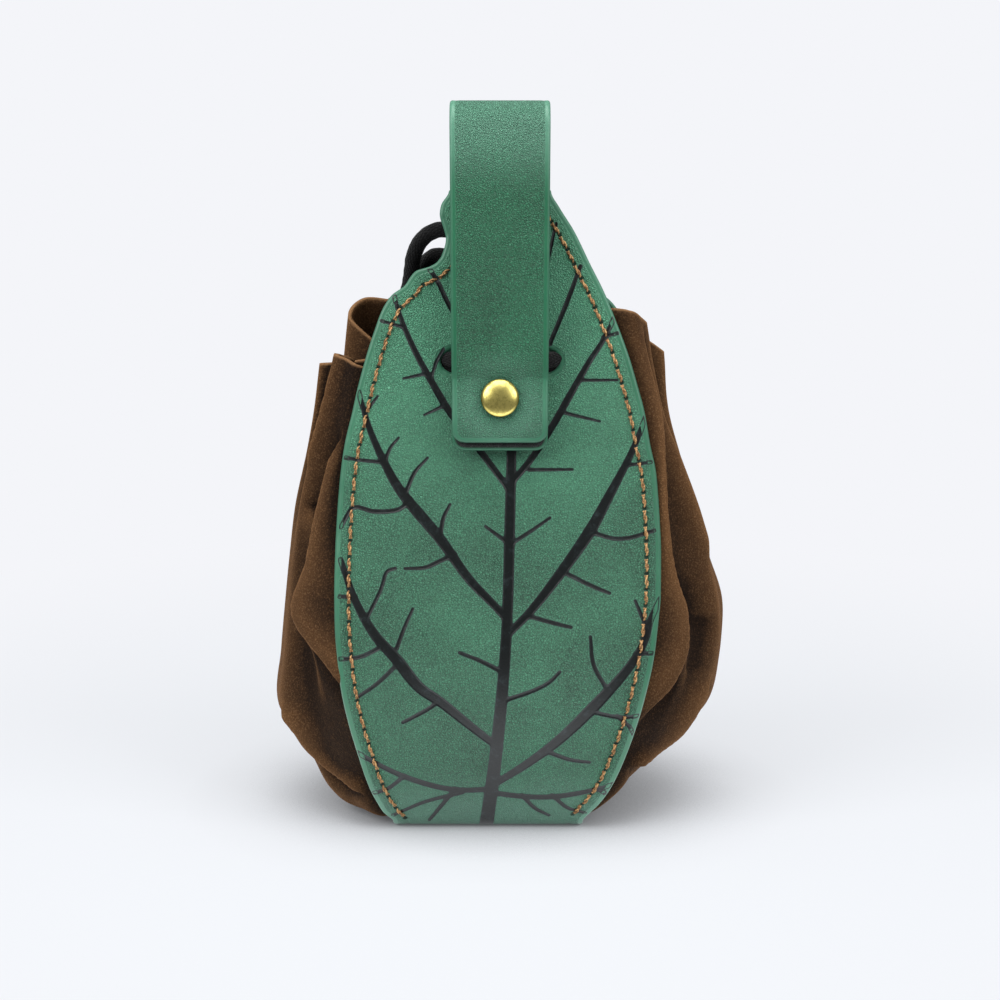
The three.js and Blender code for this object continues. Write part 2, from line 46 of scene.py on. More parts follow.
# ---- camera, light and table ----
studio = {
    "eye": (0, -0.7247, 0.2535), "tilt": 78, "lens": 81.9, "farClip": 50,
    "roomLight": 0.1, "roomGloss": 0.28, "roomTint": (0.93, 0.96, 1.0, 1),
    "white": (244, 245, 249), "tableWhite": (241, 243, 247), "tableHalf": 6,
    "tableBounce": 0.62, "nearGloss": 2.5, "farGloss": 0.3, "tableGlow": 0.6, "tableShade": (135, 137, 140),
    "contactReach": 0.045, "contactDark": 0.1, "aim": (0, 0, 0.1),
}
# Power, size and place of each lamp
lamps = {
    "leftLamp": (16, 0.9, (-1.05, -0.75, 1.0)),
    "rightLamp": (13, 0.9, (1.1, -0.75, 0.95)),
    "topLamp": (24, 1.3, (0, -0.25, 1.5)),
}


def fromRgb(red, green, blue, alpha=1.0):
    def one(value):
        value = value / 255
        return value / 12.92 if value <= 0.04045 else ((value + 0.055) / 1.055) ** 2.4
    return (one(red), one(green), one(blue), alpha)


def put(tree, kind, settings=None, inputs=None):
    node = tree.nodes.new(kind)
    for key, value in (settings or {}).items():
        setattr(node, key, value)
    for key, value in (inputs or {}).items():
        if isinstance(value, bpy.types.NodeSocket):
            tree.links.new(value, node.inputs[key])
        else:
            node.inputs[key].default_value = value
    return node


# A new node's first output
def nodeOut(tree, kind, inputs, settings=None):
    return put(tree, kind, settings, inputs).outputs[0]


def calc(tree, operation, *values):
    return nodeOut(tree, "ShaderNodeMath", dict(enumerate(values)), {"operation": operation})


def times(tree, first, second):
    return calc(tree, "MULTIPLY", first, second)


def plus(tree, first, second):
    return calc(tree, "ADD", first, second)


def minus(tree, first, second):
    return calc(tree, "SUBTRACT", first, second)


def weighed(tree, first, firstShare, second, secondShare):
    return plus(tree, times(tree, first, firstShare), times(tree, second, secondShare))


def noise(tree, place, scale, detail=2.0, roughness=0.5, distortion=0.0):
    given = {"Vector": place, "Scale": scale, "Detail": detail, "Roughness": roughness}
    return put(tree, "ShaderNodeTexNoise", None, {**given, "Distortion": distortion}).outputs["Fac"]


def step(tree, value, low, high, toLow=0.0, toHigh=1.0):
    inputs = {0: value, 1: low, 2: high, 3: toLow, 4: toHigh}
    return nodeOut(tree, "ShaderNodeMapRange", inputs, {"interpolation_type": "SMOOTHSTEP"})


def mixed(tree, factor, first, second):
    return nodeOut(tree, "ShaderNodeMix", {0: factor, 2: first, 3: second}, {"data_type": "FLOAT"})


# A colour may be a socket or three numbers from 0 to 255, as it looks on screen
def mixColor(tree, factor, first, second):
    ends = {6: first, 7: second}
    ends = {key: fromRgb(*color) if isinstance(color, tuple) else color for key, color in ends.items()}
    return put(tree, "ShaderNodeMix", {"data_type": "RGBA"}, {0: factor, **ends}).outputs[2]


def addCamera():
    data = bpy.data.cameras.new("camera")
    data.lens = studio["lens"]
    data.sensor_width = 36
    data.clip_end = studio["farClip"]
    camera = bpy.data.objects.new("camera", data)
    camera.location = studio["eye"]
    camera.rotation_euler = (math.radians(studio["tilt"]), 0, 0)
    scene.collection.objects.link(camera)
    scene.camera = camera


def addLamp(name, power, size, place):
    data = bpy.data.lights.new(name, "AREA")
    data.energy = power
    data.size = size
    lamp = bpy.data.objects.new(name, data)
    lamp.location = place
    x, y, z = np.array(studio["aim"], float) - np.array(place, float)
    lamp.rotation_euler = (math.atan2(math.hypot(x, y), -z), 0, math.atan2(y, x) - math.pi / 2)
    scene.collection.objects.link(lamp)


def addWorld():
    world = bpy.data.worlds.new("studio")
    world.use_nodes = True
    tree = world.node_tree
    tree.nodes.clear()
    ray = put(tree, "ShaderNodeLightPath").outputs
    gloss = times(tree, ray["Is Glossy Ray"], studio["roomGloss"] - studio["roomLight"])
    strength = plus(tree, gloss, studio["roomLight"])
    lit = nodeOut(tree, "ShaderNodeBackground", {0: studio["roomTint"], 1: strength})
    seen = nodeOut(tree, "ShaderNodeBackground", {0: fromRgb(*studio["white"]), 1: 1.0})
    both = nodeOut(tree, "ShaderNodeMixShader", {0: ray["Is Camera Ray"], 1: lit, 2: seen})
    put(tree, "ShaderNodeOutputWorld", None, {0: both})
    scene.world = world


# The table glows by itself, less near the bag and in its contact shadow; glossy rays see it brighter close by
def tableStrength(tree, reach, away):
    bounce, glow = studio["tableBounce"], studio["tableGlow"]
    ray = put(tree, "ShaderNodeLightPath").outputs
    seen = plus(tree, glow, times(tree, away, 1 - glow))
    seen = times(tree, ray["Is Camera Ray"], minus(tree, seen, bounce))
    gloss = step(tree, reach, 0.1, 0.42, studio["nearGloss"] - bounce, studio["farGloss"] - bounce)
    own = plus(tree, bounce, plus(tree, seen, times(tree, ray["Is Glossy Ray"], gloss)))
    contact = put(tree, "ShaderNodeAmbientOcclusion", {"samples": 4}, {"Distance": studio["contactReach"]})
    return times(tree, own, step(tree, contact.outputs["AO"], 0.0, 0.9, studio["contactDark"], 1.0))


def addTable():
    material = bpy.data.materials.new("paleTable")
    material.use_nodes = True
    tree = material.node_tree
    shader = tree.nodes["Principled BSDF"]
    place = put(tree, "ShaderNodeTexCoord").outputs["Object"]
    reach = put(tree, "ShaderNodeVectorMath", {"operation": "LENGTH"}, {0: place}).outputs["Value"]
    away = step(tree, reach, 0.1, 0.38)
    tree.links.new(mixColor(tree, away, studio["tableShade"], (0, 0, 0)), shader.inputs["Base Color"])
    glow = mixColor(tree, away, studio["tableWhite"], studio["white"])
    tree.links.new(glow, shader.inputs["Emission Color"])
    tree.links.new(tableStrength(tree, reach, away), shader.inputs["Emission Strength"])
    shader.inputs["Roughness"].default_value = 0.8
    shader.inputs["Specular IOR Level"].default_value = 0.0
    half = studio["tableHalf"]
    corners = [(-half, -half, 0), (half, -half, 0), (half, half, 0), (-half, half, 0)]
    mesh = bpy.data.meshes.new("table")
    mesh.from_pydata(corners, [], [(0, 1, 2, 3)])
    mesh.materials.append(material)
    table = bpy.data.objects.new("table", mesh)
    scene.collection.objects.link(table)


scene.view_settings.view_transform = "Standard"
addCamera()
addWorld()
addTable()
for name, (power, size, place) in lamps.items():
    addLamp(name, power, size, place)
print("camera, light and table placed")


# ---- shapes shared by the pieces ----
def smooth(value, low, high):
    share = np.clip((np.asarray(value, float) - low) / (high - low), 0, 1)
    return share * share * (3 - 2 * share)


# Smooth curve through [x, value] rows, without overshoot
def readTable(rows, x):
    rows = np.array(rows, float)
    x = np.clip(np.asarray(x, float), rows[0, 0], rows[-1, 0])
    width = np.diff(rows[:, 0])
    slope = np.diff(rows[:, 1]) / width
    before = np.concatenate([[0], slope])
    after = np.concatenate([slope, [0]])
    total = np.where(before + after == 0, 1, before + after)
    tangent = np.where(before * after <= 0, 0, 2 * before * after / total)
    i = np.clip(np.searchsorted(rows[:, 0], x, side="left") - 1, 0, len(rows) - 2)
    t = (x - rows[i, 0]) / width[i]
    first = (1 + 2 * t) * (1 - t) ** 2 * rows[i, 1] + t * (1 - t) ** 2 * width[i] * tangent[i]
    second = t * t * (3 - 2 * t) * rows[i + 1, 1] + t * t * (t - 1) * width[i] * tangent[i + 1]
    return first + second


# Smooth curve through points along the first axis, the same number of steps in each span
def through(points, steps):
    points = np.asarray(points, float)
    padded = np.concatenate([[2 * points[0] - points[1]], points, [2 * points[-1] - points[-2]]])
    share = np.linspace(0, 1, steps, endpoint=False).reshape((-1,) + (1,) * (points.ndim - 1))
    spans = []
    for i in range(len(points) - 1):
        a, b, c, d = padded[i:i + 4]
        gaps = [np.sqrt(np.linalg.norm(q - p, axis=-1, keepdims=True)) for p, q in ((a, b), (b, c), (c, d))]
        mid = np.where(gaps[1] < 1e-4, 1, gaps[1])
        low = np.where(gaps[0] < 1e-4, mid, gaps[0])
        high = np.where(gaps[2] < 1e-4, mid, gaps[2])
        start = ((b - a) / low - (c - a) / (low + mid) + (c - b) / mid) * mid
        end = ((c - b) / mid - (d - b) / (mid + high) + (d - c) / high) * mid
        cubic = 2 * b - 2 * c + start + end
        square = 3 * c - 3 * b - 2 * start - end
        spans.append(b + start * share + square * share ** 2 + cubic * share ** 3)
    return np.concatenate(spans + [points[-1:]])


def unit(vectors):
    return vectors / np.maximum(np.linalg.norm(vectors, axis=-1, keepdims=True), 1e-9)


# Length along a line at each of its points
def runLength(line):
    return np.concatenate([[0], np.cumsum(np.linalg.norm(np.diff(line, axis=0), axis=1))])


# Slices of a long list, so that no table of distances grows too large
def slices(count, size=4000):
    return [slice(k, k + size) for k in range(0, count, size)]


def evenly(line, spacing):
    along = runLength(line)
    count = max(int(round(along[-1] / spacing)), 2)
    marks = np.linspace(0, along[-1], count + 1)
    return np.stack([np.interp(marks, along, line[:, k]) for k in range(line.shape[1])], axis=1)


# Distance from each point to the nearest piece of a line, in the flat
def distanceTo(points, line):
    best = np.full(len(points), 1e9)
    starts, ends = line[:-1], line[1:]
    run = ends - starts
    length = np.maximum((run ** 2).sum(1), 1e-9)
    for part in slices(len(points)):
        away = points[part, None] - starts[None]
        share = np.clip((away * run[None]).sum(2) / length[None], 0, 1)
        best[part] = np.sqrt(((away - share[..., None] * run[None]) ** 2).sum(2).min(1))
    return best


def gridFaces(rows, columns, offset=0, flip=False):
    r, c = np.meshgrid(np.arange(rows - 1), np.arange(columns - 1), indexing="ij")
    a = (offset + r * columns + c).ravel()
    quads = np.stack([a, a + 1, a + columns + 1, a + columns], axis=1)
    return quads[:, ::-1] if flip else quads


# Faces of a tube or turned shape: rings of points, the same number of sides in each
def ringFaces(rings, sides):
    r, c = np.meshgrid(np.arange(rings - 1), np.arange(sides), indexing="ij")
    first, second = (r * sides + c).ravel(), (r * sides + (c + 1) % sides).ravel()
    return np.stack([first, second, second + sides, first + sides], axis=1)


def cleanMesh(mesh, weld):
    work = bmesh.new()
    work.from_mesh(mesh)
    if weld:
        bmesh.ops.remove_doubles(work, verts=work.verts, dist=2e-6)
        loose = [vert for vert in work.verts if not vert.link_faces]
        bmesh.ops.delete(work, geom=loose, context="VERTS")
    bmesh.ops.recalc_face_normals(work, faces=work.faces)
    work.to_mesh(mesh)
    work.free()


def meshObject(name, points, faces, material, values=None, merge=True):
    mesh = bpy.data.meshes.new(name)
    mesh.from_pydata((np.asarray(points) * mm).tolist(), [], [list(map(int, face)) for face in faces])
    for key, numbers in (values or {}).items():
        layer = mesh.attributes.new(key, "FLOAT", "POINT")
        layer.data.foreach_set("value", np.asarray(numbers, np.float32))
    if merge:
        cleanMesh(mesh, True)
    mesh.polygons.foreach_set("use_smooth", [True] * len(mesh.polygons))
    mesh.materials.append(material)
    piece = bpy.data.objects.new(name, mesh)
    scene.collection.objects.link(piece)
    return piece


# How far the face drops at its rounded edge
def rounding(edge, radius):
    near = np.clip(edge, 0, radius)
    return radius - np.sqrt(np.maximum(radius ** 2 - (radius - near) ** 2, 0))


# Rounded leather slab over a flat grid: place(x, s, depth) lays it out in space. The side argument says which
# face is coloured near-black: 0 the front, 1 the back. openEnd: the last row is cut, not rounded
def leatherSlab(name, flat, edge, place, thickness, material, values, blackFaceSide, press, kept=None,
                openEnd=False):
    rows, columns = flat.shape[:2]
    spots = flat.reshape(-1, 2)
    drop = rounding(edge, thickness / 2)
    front = place(spots[:, 0], spots[:, 1], drop + press)
    back = place(spots[:, 0], spots[:, 1], thickness - drop)
    quads = gridFaces(rows, columns)
    if kept is not None:
        quads = quads[kept[quads].any(1)]
    faces = [quads, quads[:, ::-1] + rows * columns]
    if openEnd:
        ring = (rows - 1) * columns + np.arange(columns - 1)
        faces.append(np.stack([ring + 1, ring + 1 + rows * columns, ring + rows * columns, ring], axis=1))
    doubled = {key: np.concatenate([numbers, numbers]) for key, numbers in values.items()}
    doubled["edge"] = np.concatenate([edge, edge])
    blackFace = [np.zeros(len(edge)), np.zeros(len(edge))]
    blackFace[blackFaceSide] = smooth(edge, 0.7, 1.1)
    doubled["blackFace"] = np.concatenate(blackFace)
    return meshObject(name, np.concatenate([front, back]), np.concatenate(faces), material, doubled)


# What a visible piece stands for: its CAD node, which it hides, and it goes on the fixed body
def standsFor(piece, node):
    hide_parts(node)
    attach(piece, "root")
    return piece


def tubeFrames(line):
    along = unit(np.gradient(line, axis=0))
    side = np.cross(along[0], (0.3, 0.2, 0.93))
    sides = []
    for direction in along:
        side = unit(side - direction * np.dot(side, direction))
        sides.append(side)
    sides = np.array(sides)
    return sides, np.cross(along, sides)


print("shared shapes ready")


# ---- finishes ----
floatSocket, vectorSocket = "NodeSocketFloat", "NodeSocketVector"


def newGroup(name, inputs, outputs):
    group = bpy.data.node_groups.new(name, "ShaderNodeTree")
    for label, kind, value in inputs:
        socket = group.interface.new_socket(name=label, in_out="INPUT", socket_type=kind)
        if value is not None:
            socket.default_value = value
    for label in outputs:
        group.interface.new_socket(name=label, in_out="OUTPUT", socket_type=floatSocket)
    return group, group.nodes.new("NodeGroupInput"), group.nodes.new("NodeGroupOutput")


# Pebbled grain with soft clouding, for every piece of green leather
def leatherGrainGroup():
    group, given, result = newGroup(
        "leatherGrain",
        [("place", vectorSocket, None), ("pebbles", floatSocket, 1400.0), ("clouds", floatSocket, 30.0)],
        ("height", "tone", "cloud"))
    place = given.outputs["place"]
    cells = put(group, "ShaderNodeTexVoronoi", {"feature": "DISTANCE_TO_EDGE"},
                {"Vector": place, "Scale": given.outputs["pebbles"]})
    crease = step(group, cells.outputs["Distance"], 0.0, 0.3)
    worms = step(group, noise(group, place, 1900.0, 2.0, 0.7, 0.8), 0.36, 0.64)
    made = {
        "height": weighed(group, crease, 0.65, worms, 0.35),
        "tone": weighed(group, crease, 0.55, worms, 0.45),
        "cloud": noise(group, place, given.outputs["clouds"], 2.0, 0.6, 0.4),
    }
    for label, socket in made.items():
        group.links.new(socket, result.inputs[label])
    return group


# Worn rim: how far a spot is towards the bare, rubbed edge of a piece
def rubbedEdgeGroup():
    group, given, result = newGroup(
        "rubbedEdge",
        [("place", vectorSocket, None), ("edge", floatSocket, 10.0), ("reach", floatSocket, 1.2)],
        ("worn",))
    ragged = plus(group, noise(group, given.outputs["place"], 420.0, 3.0), 0.5)
    wide = times(group, given.outputs["reach"], ragged)
    group.links.new(step(group, given.outputs["edge"], 0.0, wide, 1.0, 0.0), result.inputs["worn"])
    return group


leatherGrain = leatherGrainGroup()
rubbedEdge = rubbedEdgeGroup()


def newMaterial(name):
    material = bpy.data.materials.new(name)
    material.use_nodes = True
    tree = material.node_tree
    return material, tree, put(tree, "ShaderNodeTexCoord").outputs["Object"]


# What varies over the piece is linked; what is the same all over is set on the shader itself
def finish(material, linked, steady):
    tree = material.node_tree
    shader = tree.nodes["Principled BSDF"]
    for name, socket in linked.items():
        tree.links.new(socket, shader.inputs[name])
    for name, value in steady.items():
        shader.inputs[name].default_value = value
    return material


def attribute(tree, name):
    return put(tree, "ShaderNodeAttribute", {"attribute_name": name}).outputs["Fac"]


def grainOf(tree, place):
    return put(tree, "ShaderNodeGroup", {"node_tree": leatherGrain}, {"place": place}).outputs


def wornEdge(tree, place, reach):
    given = {"place": place, "edge": attribute(tree, "edge"), "reach": reach}
    return put(tree, "ShaderNodeGroup", {"node_tree": rubbedEdge}, given).outputs["worn"]


def bump(tree, height, distance, strength=1.0, normal=None):
    inputs = {"Height": height, "Distance": distance, "Strength": strength}
    if normal is not None:
        inputs["Normal"] = normal
    return put(tree, "ShaderNodeBump", None, inputs).outputs["Normal"]


# Colours are as they look on screen, 0 to 255. band: where the pressed edge band begins and is full, in mm.
# Painted light on the printed leaf: the heights in metres between which it goes from slightly darker to
# lighter towards its top, and by how much
greenLook = {
    "leaf": ((5, 52, 33), (88, 164, 127), 0.5),
    "strap": ((3, 48, 29), (56, 143, 102), 0.42),
    "edge": (80, 128, 108),
    # Colour of the painted light on the strap's curves and, as the table's painted reflection, on the leaf's
    # toe
    "paintedLightColor": (114, 166, 143),
    # Near-black face colour with grey lint, and the dark colour of the painted shade in the stitch holes
    "blackFaceColor": (24, 26, 25), "lint": (75, 75, 75), "holeDentAndShade": (10, 29, 18),
    "band": (2.1, 1.5), "paintedTopLight": (0.08, 0.15, -0.06, 0.26), "grainDepth": 0.0007,
    "wrinkleSlant": -38, "wrinkleSize": (150.0, 40.0, 16.0), "wrinkleDepth": 0.0022,
}
inkLook = {"color": (2, 6, 6), "scuffed": (60, 72, 74), "rough": 0.36, "gloss": 0.34, "hollow": 0.0002}


# Faint slanting creases, on the left half of the leaf only
def wrinkles(tree, place, normal):
    turn = {"Vector": place, "Angle": math.radians(greenLook["wrinkleSlant"])}
    slant = nodeOut(tree, "ShaderNodeVectorRotate", turn, {"rotation_type": "Y_AXIS"})
    size = {0: slant, 1: greenLook["wrinkleSize"]}
    stretched = nodeOut(tree, "ShaderNodeVectorMath", size, {"operation": "MULTIPLY"})
    side = nodeOut(tree, "ShaderNodeSeparateXYZ", {0: place})
    lines = times(tree, noise(tree, stretched, 1.0), step(tree, side, 0.01, -0.02))
    return bump(tree, lines, greenLook["wrinkleDepth"], 0.5, normal)


# Tone of the grain, plainer in the pressed band; on the printed leaf painted light makes it lighter towards
# its top
def leatherTone(tree, place, grain, band, printed):
    tone = minus(tree, weighed(tree, grain["tone"], 0.6, grain["cloud"], 0.6), 0.15)
    if printed:
        height = put(tree, "ShaderNodeSeparateXYZ", None, {0: place}).outputs[2]
        tone = plus(tree, tone, step(tree, height, *greenLook["paintedTopLight"]))
    plain = plus(tree, 0.16, times(tree, grain["cloud"], 0.4))
    return mixed(tree, band, tone, plain)


# Pressed veins with a painted highlight on the lip beside them, and the stitch holes, dented and darkened with
# painted shade
def printMarks(tree, place, color, rough, normal):
    vein, edge = attribute(tree, "vein"), attribute(tree, "edge")
    ink = times(tree, step(tree, calc(tree, "ABSOLUTE", vein), 0.24, 0.1), step(tree, edge, 2.6, 2.1))
    # Painted highlight: a lighter line on the lip just outside each vein's ink
    lip = times(tree, step(tree, vein, 0.7, 0.15), step(tree, vein, -0.2, 0.1))
    # Painted shade in the stitch holes, which are also dented
    holeDentAndShade = step(tree, attribute(tree, "holeDentAndShade"), 1.0, 0.55)
    color = mixColor(tree, times(tree, lip, 0.3), color, greenLook["edge"])
    color = mixColor(tree, times(tree, holeDentAndShade, 0.95), color, greenLook["holeDentAndShade"])
    color = mixColor(tree, times(tree, ink, 0.95), color, inkLook["color"])
    normal = bump(tree, times(tree, holeDentAndShade, -1.0), 0.0006, 0.9, wrinkles(tree, place, normal))
    return color, mixed(tree, holeDentAndShade, rough, 1.0), normal


def greenLeather(name, printed, deep, light, gloss):
    material, tree, place = newMaterial(name)
    grain = grainOf(tree, place)
    band = step(tree, attribute(tree, "edge"), *greenLook["band"])
    tone = leatherTone(tree, place, grain, band, printed)
    color = mixColor(tree, tone, deep, light)
    color = mixColor(tree, times(tree, wornEdge(tree, place, 0.8), 0.35), color, greenLook["edge"])
    # Painted light: lighter on the strap's curves and on the leaf's toe
    color = mixColor(tree, attribute(tree, "paintedLight"), color, greenLook["paintedLightColor"])
    rough = plus(tree, 0.4, weighed(tree, grain["cloud"], 0.16, band, -0.08))
    relief = times(tree, grain["height"], minus(tree, 1.0, band))
    normal = bump(tree, relief, greenLook["grainDepth"], 0.9)
    if printed:
        color, rough, normal = printMarks(tree, place, color, rough, normal)
    # Near-black colour with grey lint, and rougher, on the chosen face of each slab
    blackFace = attribute(tree, "blackFace")
    lint = step(tree, noise(tree, place, 1500.0, 3.0, distortion=2.0), 0.5, 0.75)
    blackFaceColor = mixColor(tree, lint, greenLook["blackFaceColor"], greenLook["lint"])
    color = mixColor(tree, blackFace, color, blackFaceColor)
    rough = plus(tree, rough, times(tree, blackFace, 0.4))
    linked = {"Base Color": color, "Roughness": rough, "Normal": normal}
    return finish(material, linked, {"Specular IOR Level": gloss})


def blackInk():
    material, tree, place = newMaterial("blackInk")
    vein = attribute(tree, "vein")
    hollow = step(tree, vein, 0.0, -0.6, 0.0, -1.0)
    scuffed = times(tree, step(tree, noise(tree, place, 260.0, 6.0, 0.8, 0.5), 0.5, 0.75), 0.45)
    rim = times(tree, step(tree, vein, -0.28, -0.05), 0.3)
    worn = calc(tree, "MAXIMUM", scuffed, rim)
    color = mixColor(tree, worn, inkLook["color"], inkLook["scuffed"])
    normal = bump(tree, grainOf(tree, place)["height"], 0.00008, 0.4)
    normal = bump(tree, hollow, inkLook["hollow"], 0.8, normal)
    steady = {"Roughness": inkLook["rough"], "Specular IOR Level": inkLook["gloss"]}
    return finish(material, {"Base Color": color, "Normal": normal}, steady)


# The ridge value: how much painted light ridges and painted shade hollows get; the last value: painted sheen
# where the suede is seen edge-on
suedeLook = {
    "dark": (21, 11, 5), "light": (98, 68, 41), "cut": (144, 108, 74), "sheen": (184, 132, 80),
    "nap": 2000.0, "fibre": 520.0, "patches": 45.0, "plain": 0.2, "ridge": 0.26, "paintedSheen": 0.4,
}


def brownSuede():
    material, tree, place = newMaterial("brownSuede")
    cut = suedeLook["cut"]
    nap = noise(tree, place, suedeLook["nap"], 4.0, 0.7)
    brushed = noise(tree, place, suedeLook["patches"], 3.0, 0.5, 0.6)
    fibre = noise(tree, place, suedeLook["fibre"], 3.0, distortion=1.2)
    facing = put(tree, "ShaderNodeLayerWeight", None, {"Blend": 0.5}).outputs["Facing"]
    # Painted sheen: the suede made lighter where it is seen edge-on
    paintedSheen = times(tree, step(tree, facing, 0.4, 1.0), suedeLook["paintedSheen"])
    tone = plus(tree, weighed(tree, brushed, 0.3, fibre, 0.3), suedeLook["plain"] - 0.3)
    # Painted light on ridges, painted shade in hollows and beside the front seam
    tone = plus(tree, tone, times(tree, attribute(tree, "fold"), suedeLook["ridge"]))
    tone = calc(tree, "MINIMUM", calc(tree, "MAXIMUM", plus(tree, tone, paintedSheen), 0.0), 1.0)
    color = mixColor(tree, tone, suedeLook["dark"], suedeLook["light"])
    speck = times(tree, step(tree, nap, 0.48, 0.66), plus(tree, tone, 0.25))
    color = mixColor(tree, times(tree, speck, 0.5), color, cut)
    color = mixColor(tree, times(tree, wornEdge(tree, place, 1.0), 0.7), color, cut)
    normal = bump(tree, fibre, 0.0006, 0.35, bump(tree, nap, 0.0005, 0.5))
    steady = {
        "Roughness": 0.95, "Specular IOR Level": 0.15, "Sheen Weight": 0.3, "Sheen Roughness": 0.3,
        "Sheen Tint": fromRgb(*suedeLook["sheen"]),
    }
    return finish(material, {"Base Color": color, "Normal": normal}, steady)


cordLook = {"black": (8, 8, 9), "lint": (52, 51, 50), "braid": (20, 20, 20), "strands": 8.0}


def blackCord():
    material, tree, place = newMaterial("blackCord")
    flat = nodeOut(tree, "ShaderNodeUVMap", {}, {"uv_map": "wrap"})
    around, along = put(tree, "ShaderNodeSeparateXYZ", None, {0: flat}).outputs[:2]
    ways = []
    for turn in (1, -1):
        slope = plus(tree, times(tree, around, cordLook["strands"] * turn), along)
        ways.append(calc(tree, "ABSOLUTE", calc(tree, "SINE", times(tree, slope, 2 * math.pi))))
    braid = calc(tree, "MINIMUM", *ways)
    lint = noise(tree, place, 2400.0, 3.0, 0.7)
    color = mixColor(tree, step(tree, lint, 0.52, 0.78), cordLook["black"], cordLook["lint"])
    color = mixColor(tree, times(tree, braid, 0.5), color, cordLook["braid"])
    normal = bump(tree, lint, 0.0004, 0.5, bump(tree, braid, 0.0004, 0.6))
    steady = {"Roughness": 0.9, "Specular IOR Level": 0.2, "Sheen Weight": 0.12, "Sheen Roughness": 0.4}
    return finish(material, {"Base Color": color, "Normal": normal}, steady)


brassLook = {
    "bright": (212, 197, 114), "darkBrass": (136, 124, 62), "rough": 0.28,
    "scratches": (5200.0, 700.0, 700.0),
}


def antiqueBrass():
    material, tree, place = newMaterial("antiqueBrass")
    scratch = nodeOut(tree, "ShaderNodeMapping", {"Vector": place, "Scale": brassLook["scratches"]})
    tarnish = step(tree, noise(tree, place, 900.0, 6.0, 0.75), 0.38, 0.8)
    # Darker in random tarnish patches and towards the cap's rolled rim
    dark = calc(tree, "MAXIMUM", tarnish, step(tree, attribute(tree, "rim"), 0.9, 0.99))
    color = mixColor(tree, dark, brassLook["bright"], brassLook["darkBrass"])
    rough = plus(tree, brassLook["rough"], times(tree, dark, 0.08))
    normal = bump(tree, noise(tree, scratch, 1.0), 0.00008, 0.15)
    return finish(material, {"Base Color": color, "Roughness": rough, "Normal": normal}, {"Metallic": 1.0})


threadLook = {"dark": (118, 78, 42), "light": (206, 162, 108)}


def tanThread():
    material, tree, place = newMaterial("tanThread")
    fuzz = noise(tree, place, 1500.0, 3.0)
    color = mixColor(tree, step(tree, fuzz, 0.35, 0.65), threadLook["dark"], threadLook["light"])
    linked = {"Base Color": color, "Normal": bump(tree, fuzz, 0.0002, 0.4)}
    return finish(material, linked, {"Roughness": 0.7})


printedLeather = greenLeather("printedLeather", True, *greenLook["leaf"])
plainLeather = greenLeather("plainLeather", False, *greenLook["strap"])
inkFinish = blackInk()
suedeFinish = brownSuede()
cordFinish = blackCord()
brassFinish = antiqueBrass()
threadFinish = tanThread()
print("finishes made")


# ---- drawstring ----
cordSizes = {"thick": 5.0, "ring": 0.7, "sides": 20, "relief": 0.05, "braidPitch": 4.2}

runRoute = [
    (-36.5, 13.5, 148.5), (-41.6, 10, 143.9), (-45, 3, 141.2), (-44.5, -5, 141), (-41, -11.5, 142.5),
    (-35, -14.5, 144.5), (-27.5, -15, 146.5), (-21.5, -17.2, 148), (-16.5, -22, 148.9),
    (-10.5, -26.2, 149.2), (-4, -27.3, 149.3), (4, -27.3, 149.3), (11.5, -26.4, 149.2), (17.8, -22.4, 149),
    (23, -17.4, 148.2), (29, -14.2, 147), (35.5, -11.5, 145.5), (40.5, -6, 143.5), (42.5, 1, 142),
    (41, 8, 142.5), (36, 13, 144.5), (29, 15, 146.5), (22.5, 17.2, 148), (17.5, 22, 148.9),
    (11.5, 26.2, 149.2), (4, 27.3, 149.3), (-4, 27.3, 149.3), (-10.5, 26.2, 149.2), (-15.6, 22.2, 149.1),
    (-18.8, 19.4, 150.6), (-21.4, 17.2, 153.2),
]
outerTailRoute = [
    (-36.27, 13.66, 148.71), (-34.62, 14.8, 150.2), (-32.7, 15.2, 153.4), (-31.4, 13.8, 157.4),
    (-30.8, 10.6, 161.6), (-30, 6.8, 165.8), (-28.9, 2.6, 170), (-28.1, -1, 174.8), (-27.3, -4, 179.4),
    (-24.9, -6.2, 184.4), (-20.6, -8, 187.6), (-15, -9, 187.9), (-9.5, -9.6, 185.2), (-6.2, -9.6, 180.8),
]
innerTailRoute = [
    (-21.62, 17.02, 153.41), (-23.1, 15.75, 154.9), (-24.6, 13.9, 157.6), (-25.2, 12.4, 161.2),
    (-25.3, 10.4, 166), (-25, 7.4, 171.5), (-23.8, 4.2, 176.2), (-20.4, 1.2, 178.9), (-15.8, -2.2, 178.4),
    (-11.2, -5.6, 176.4), (-8, -8.2, 174.6),
]
knotPlace = (1.8, -9.2, 176.4)


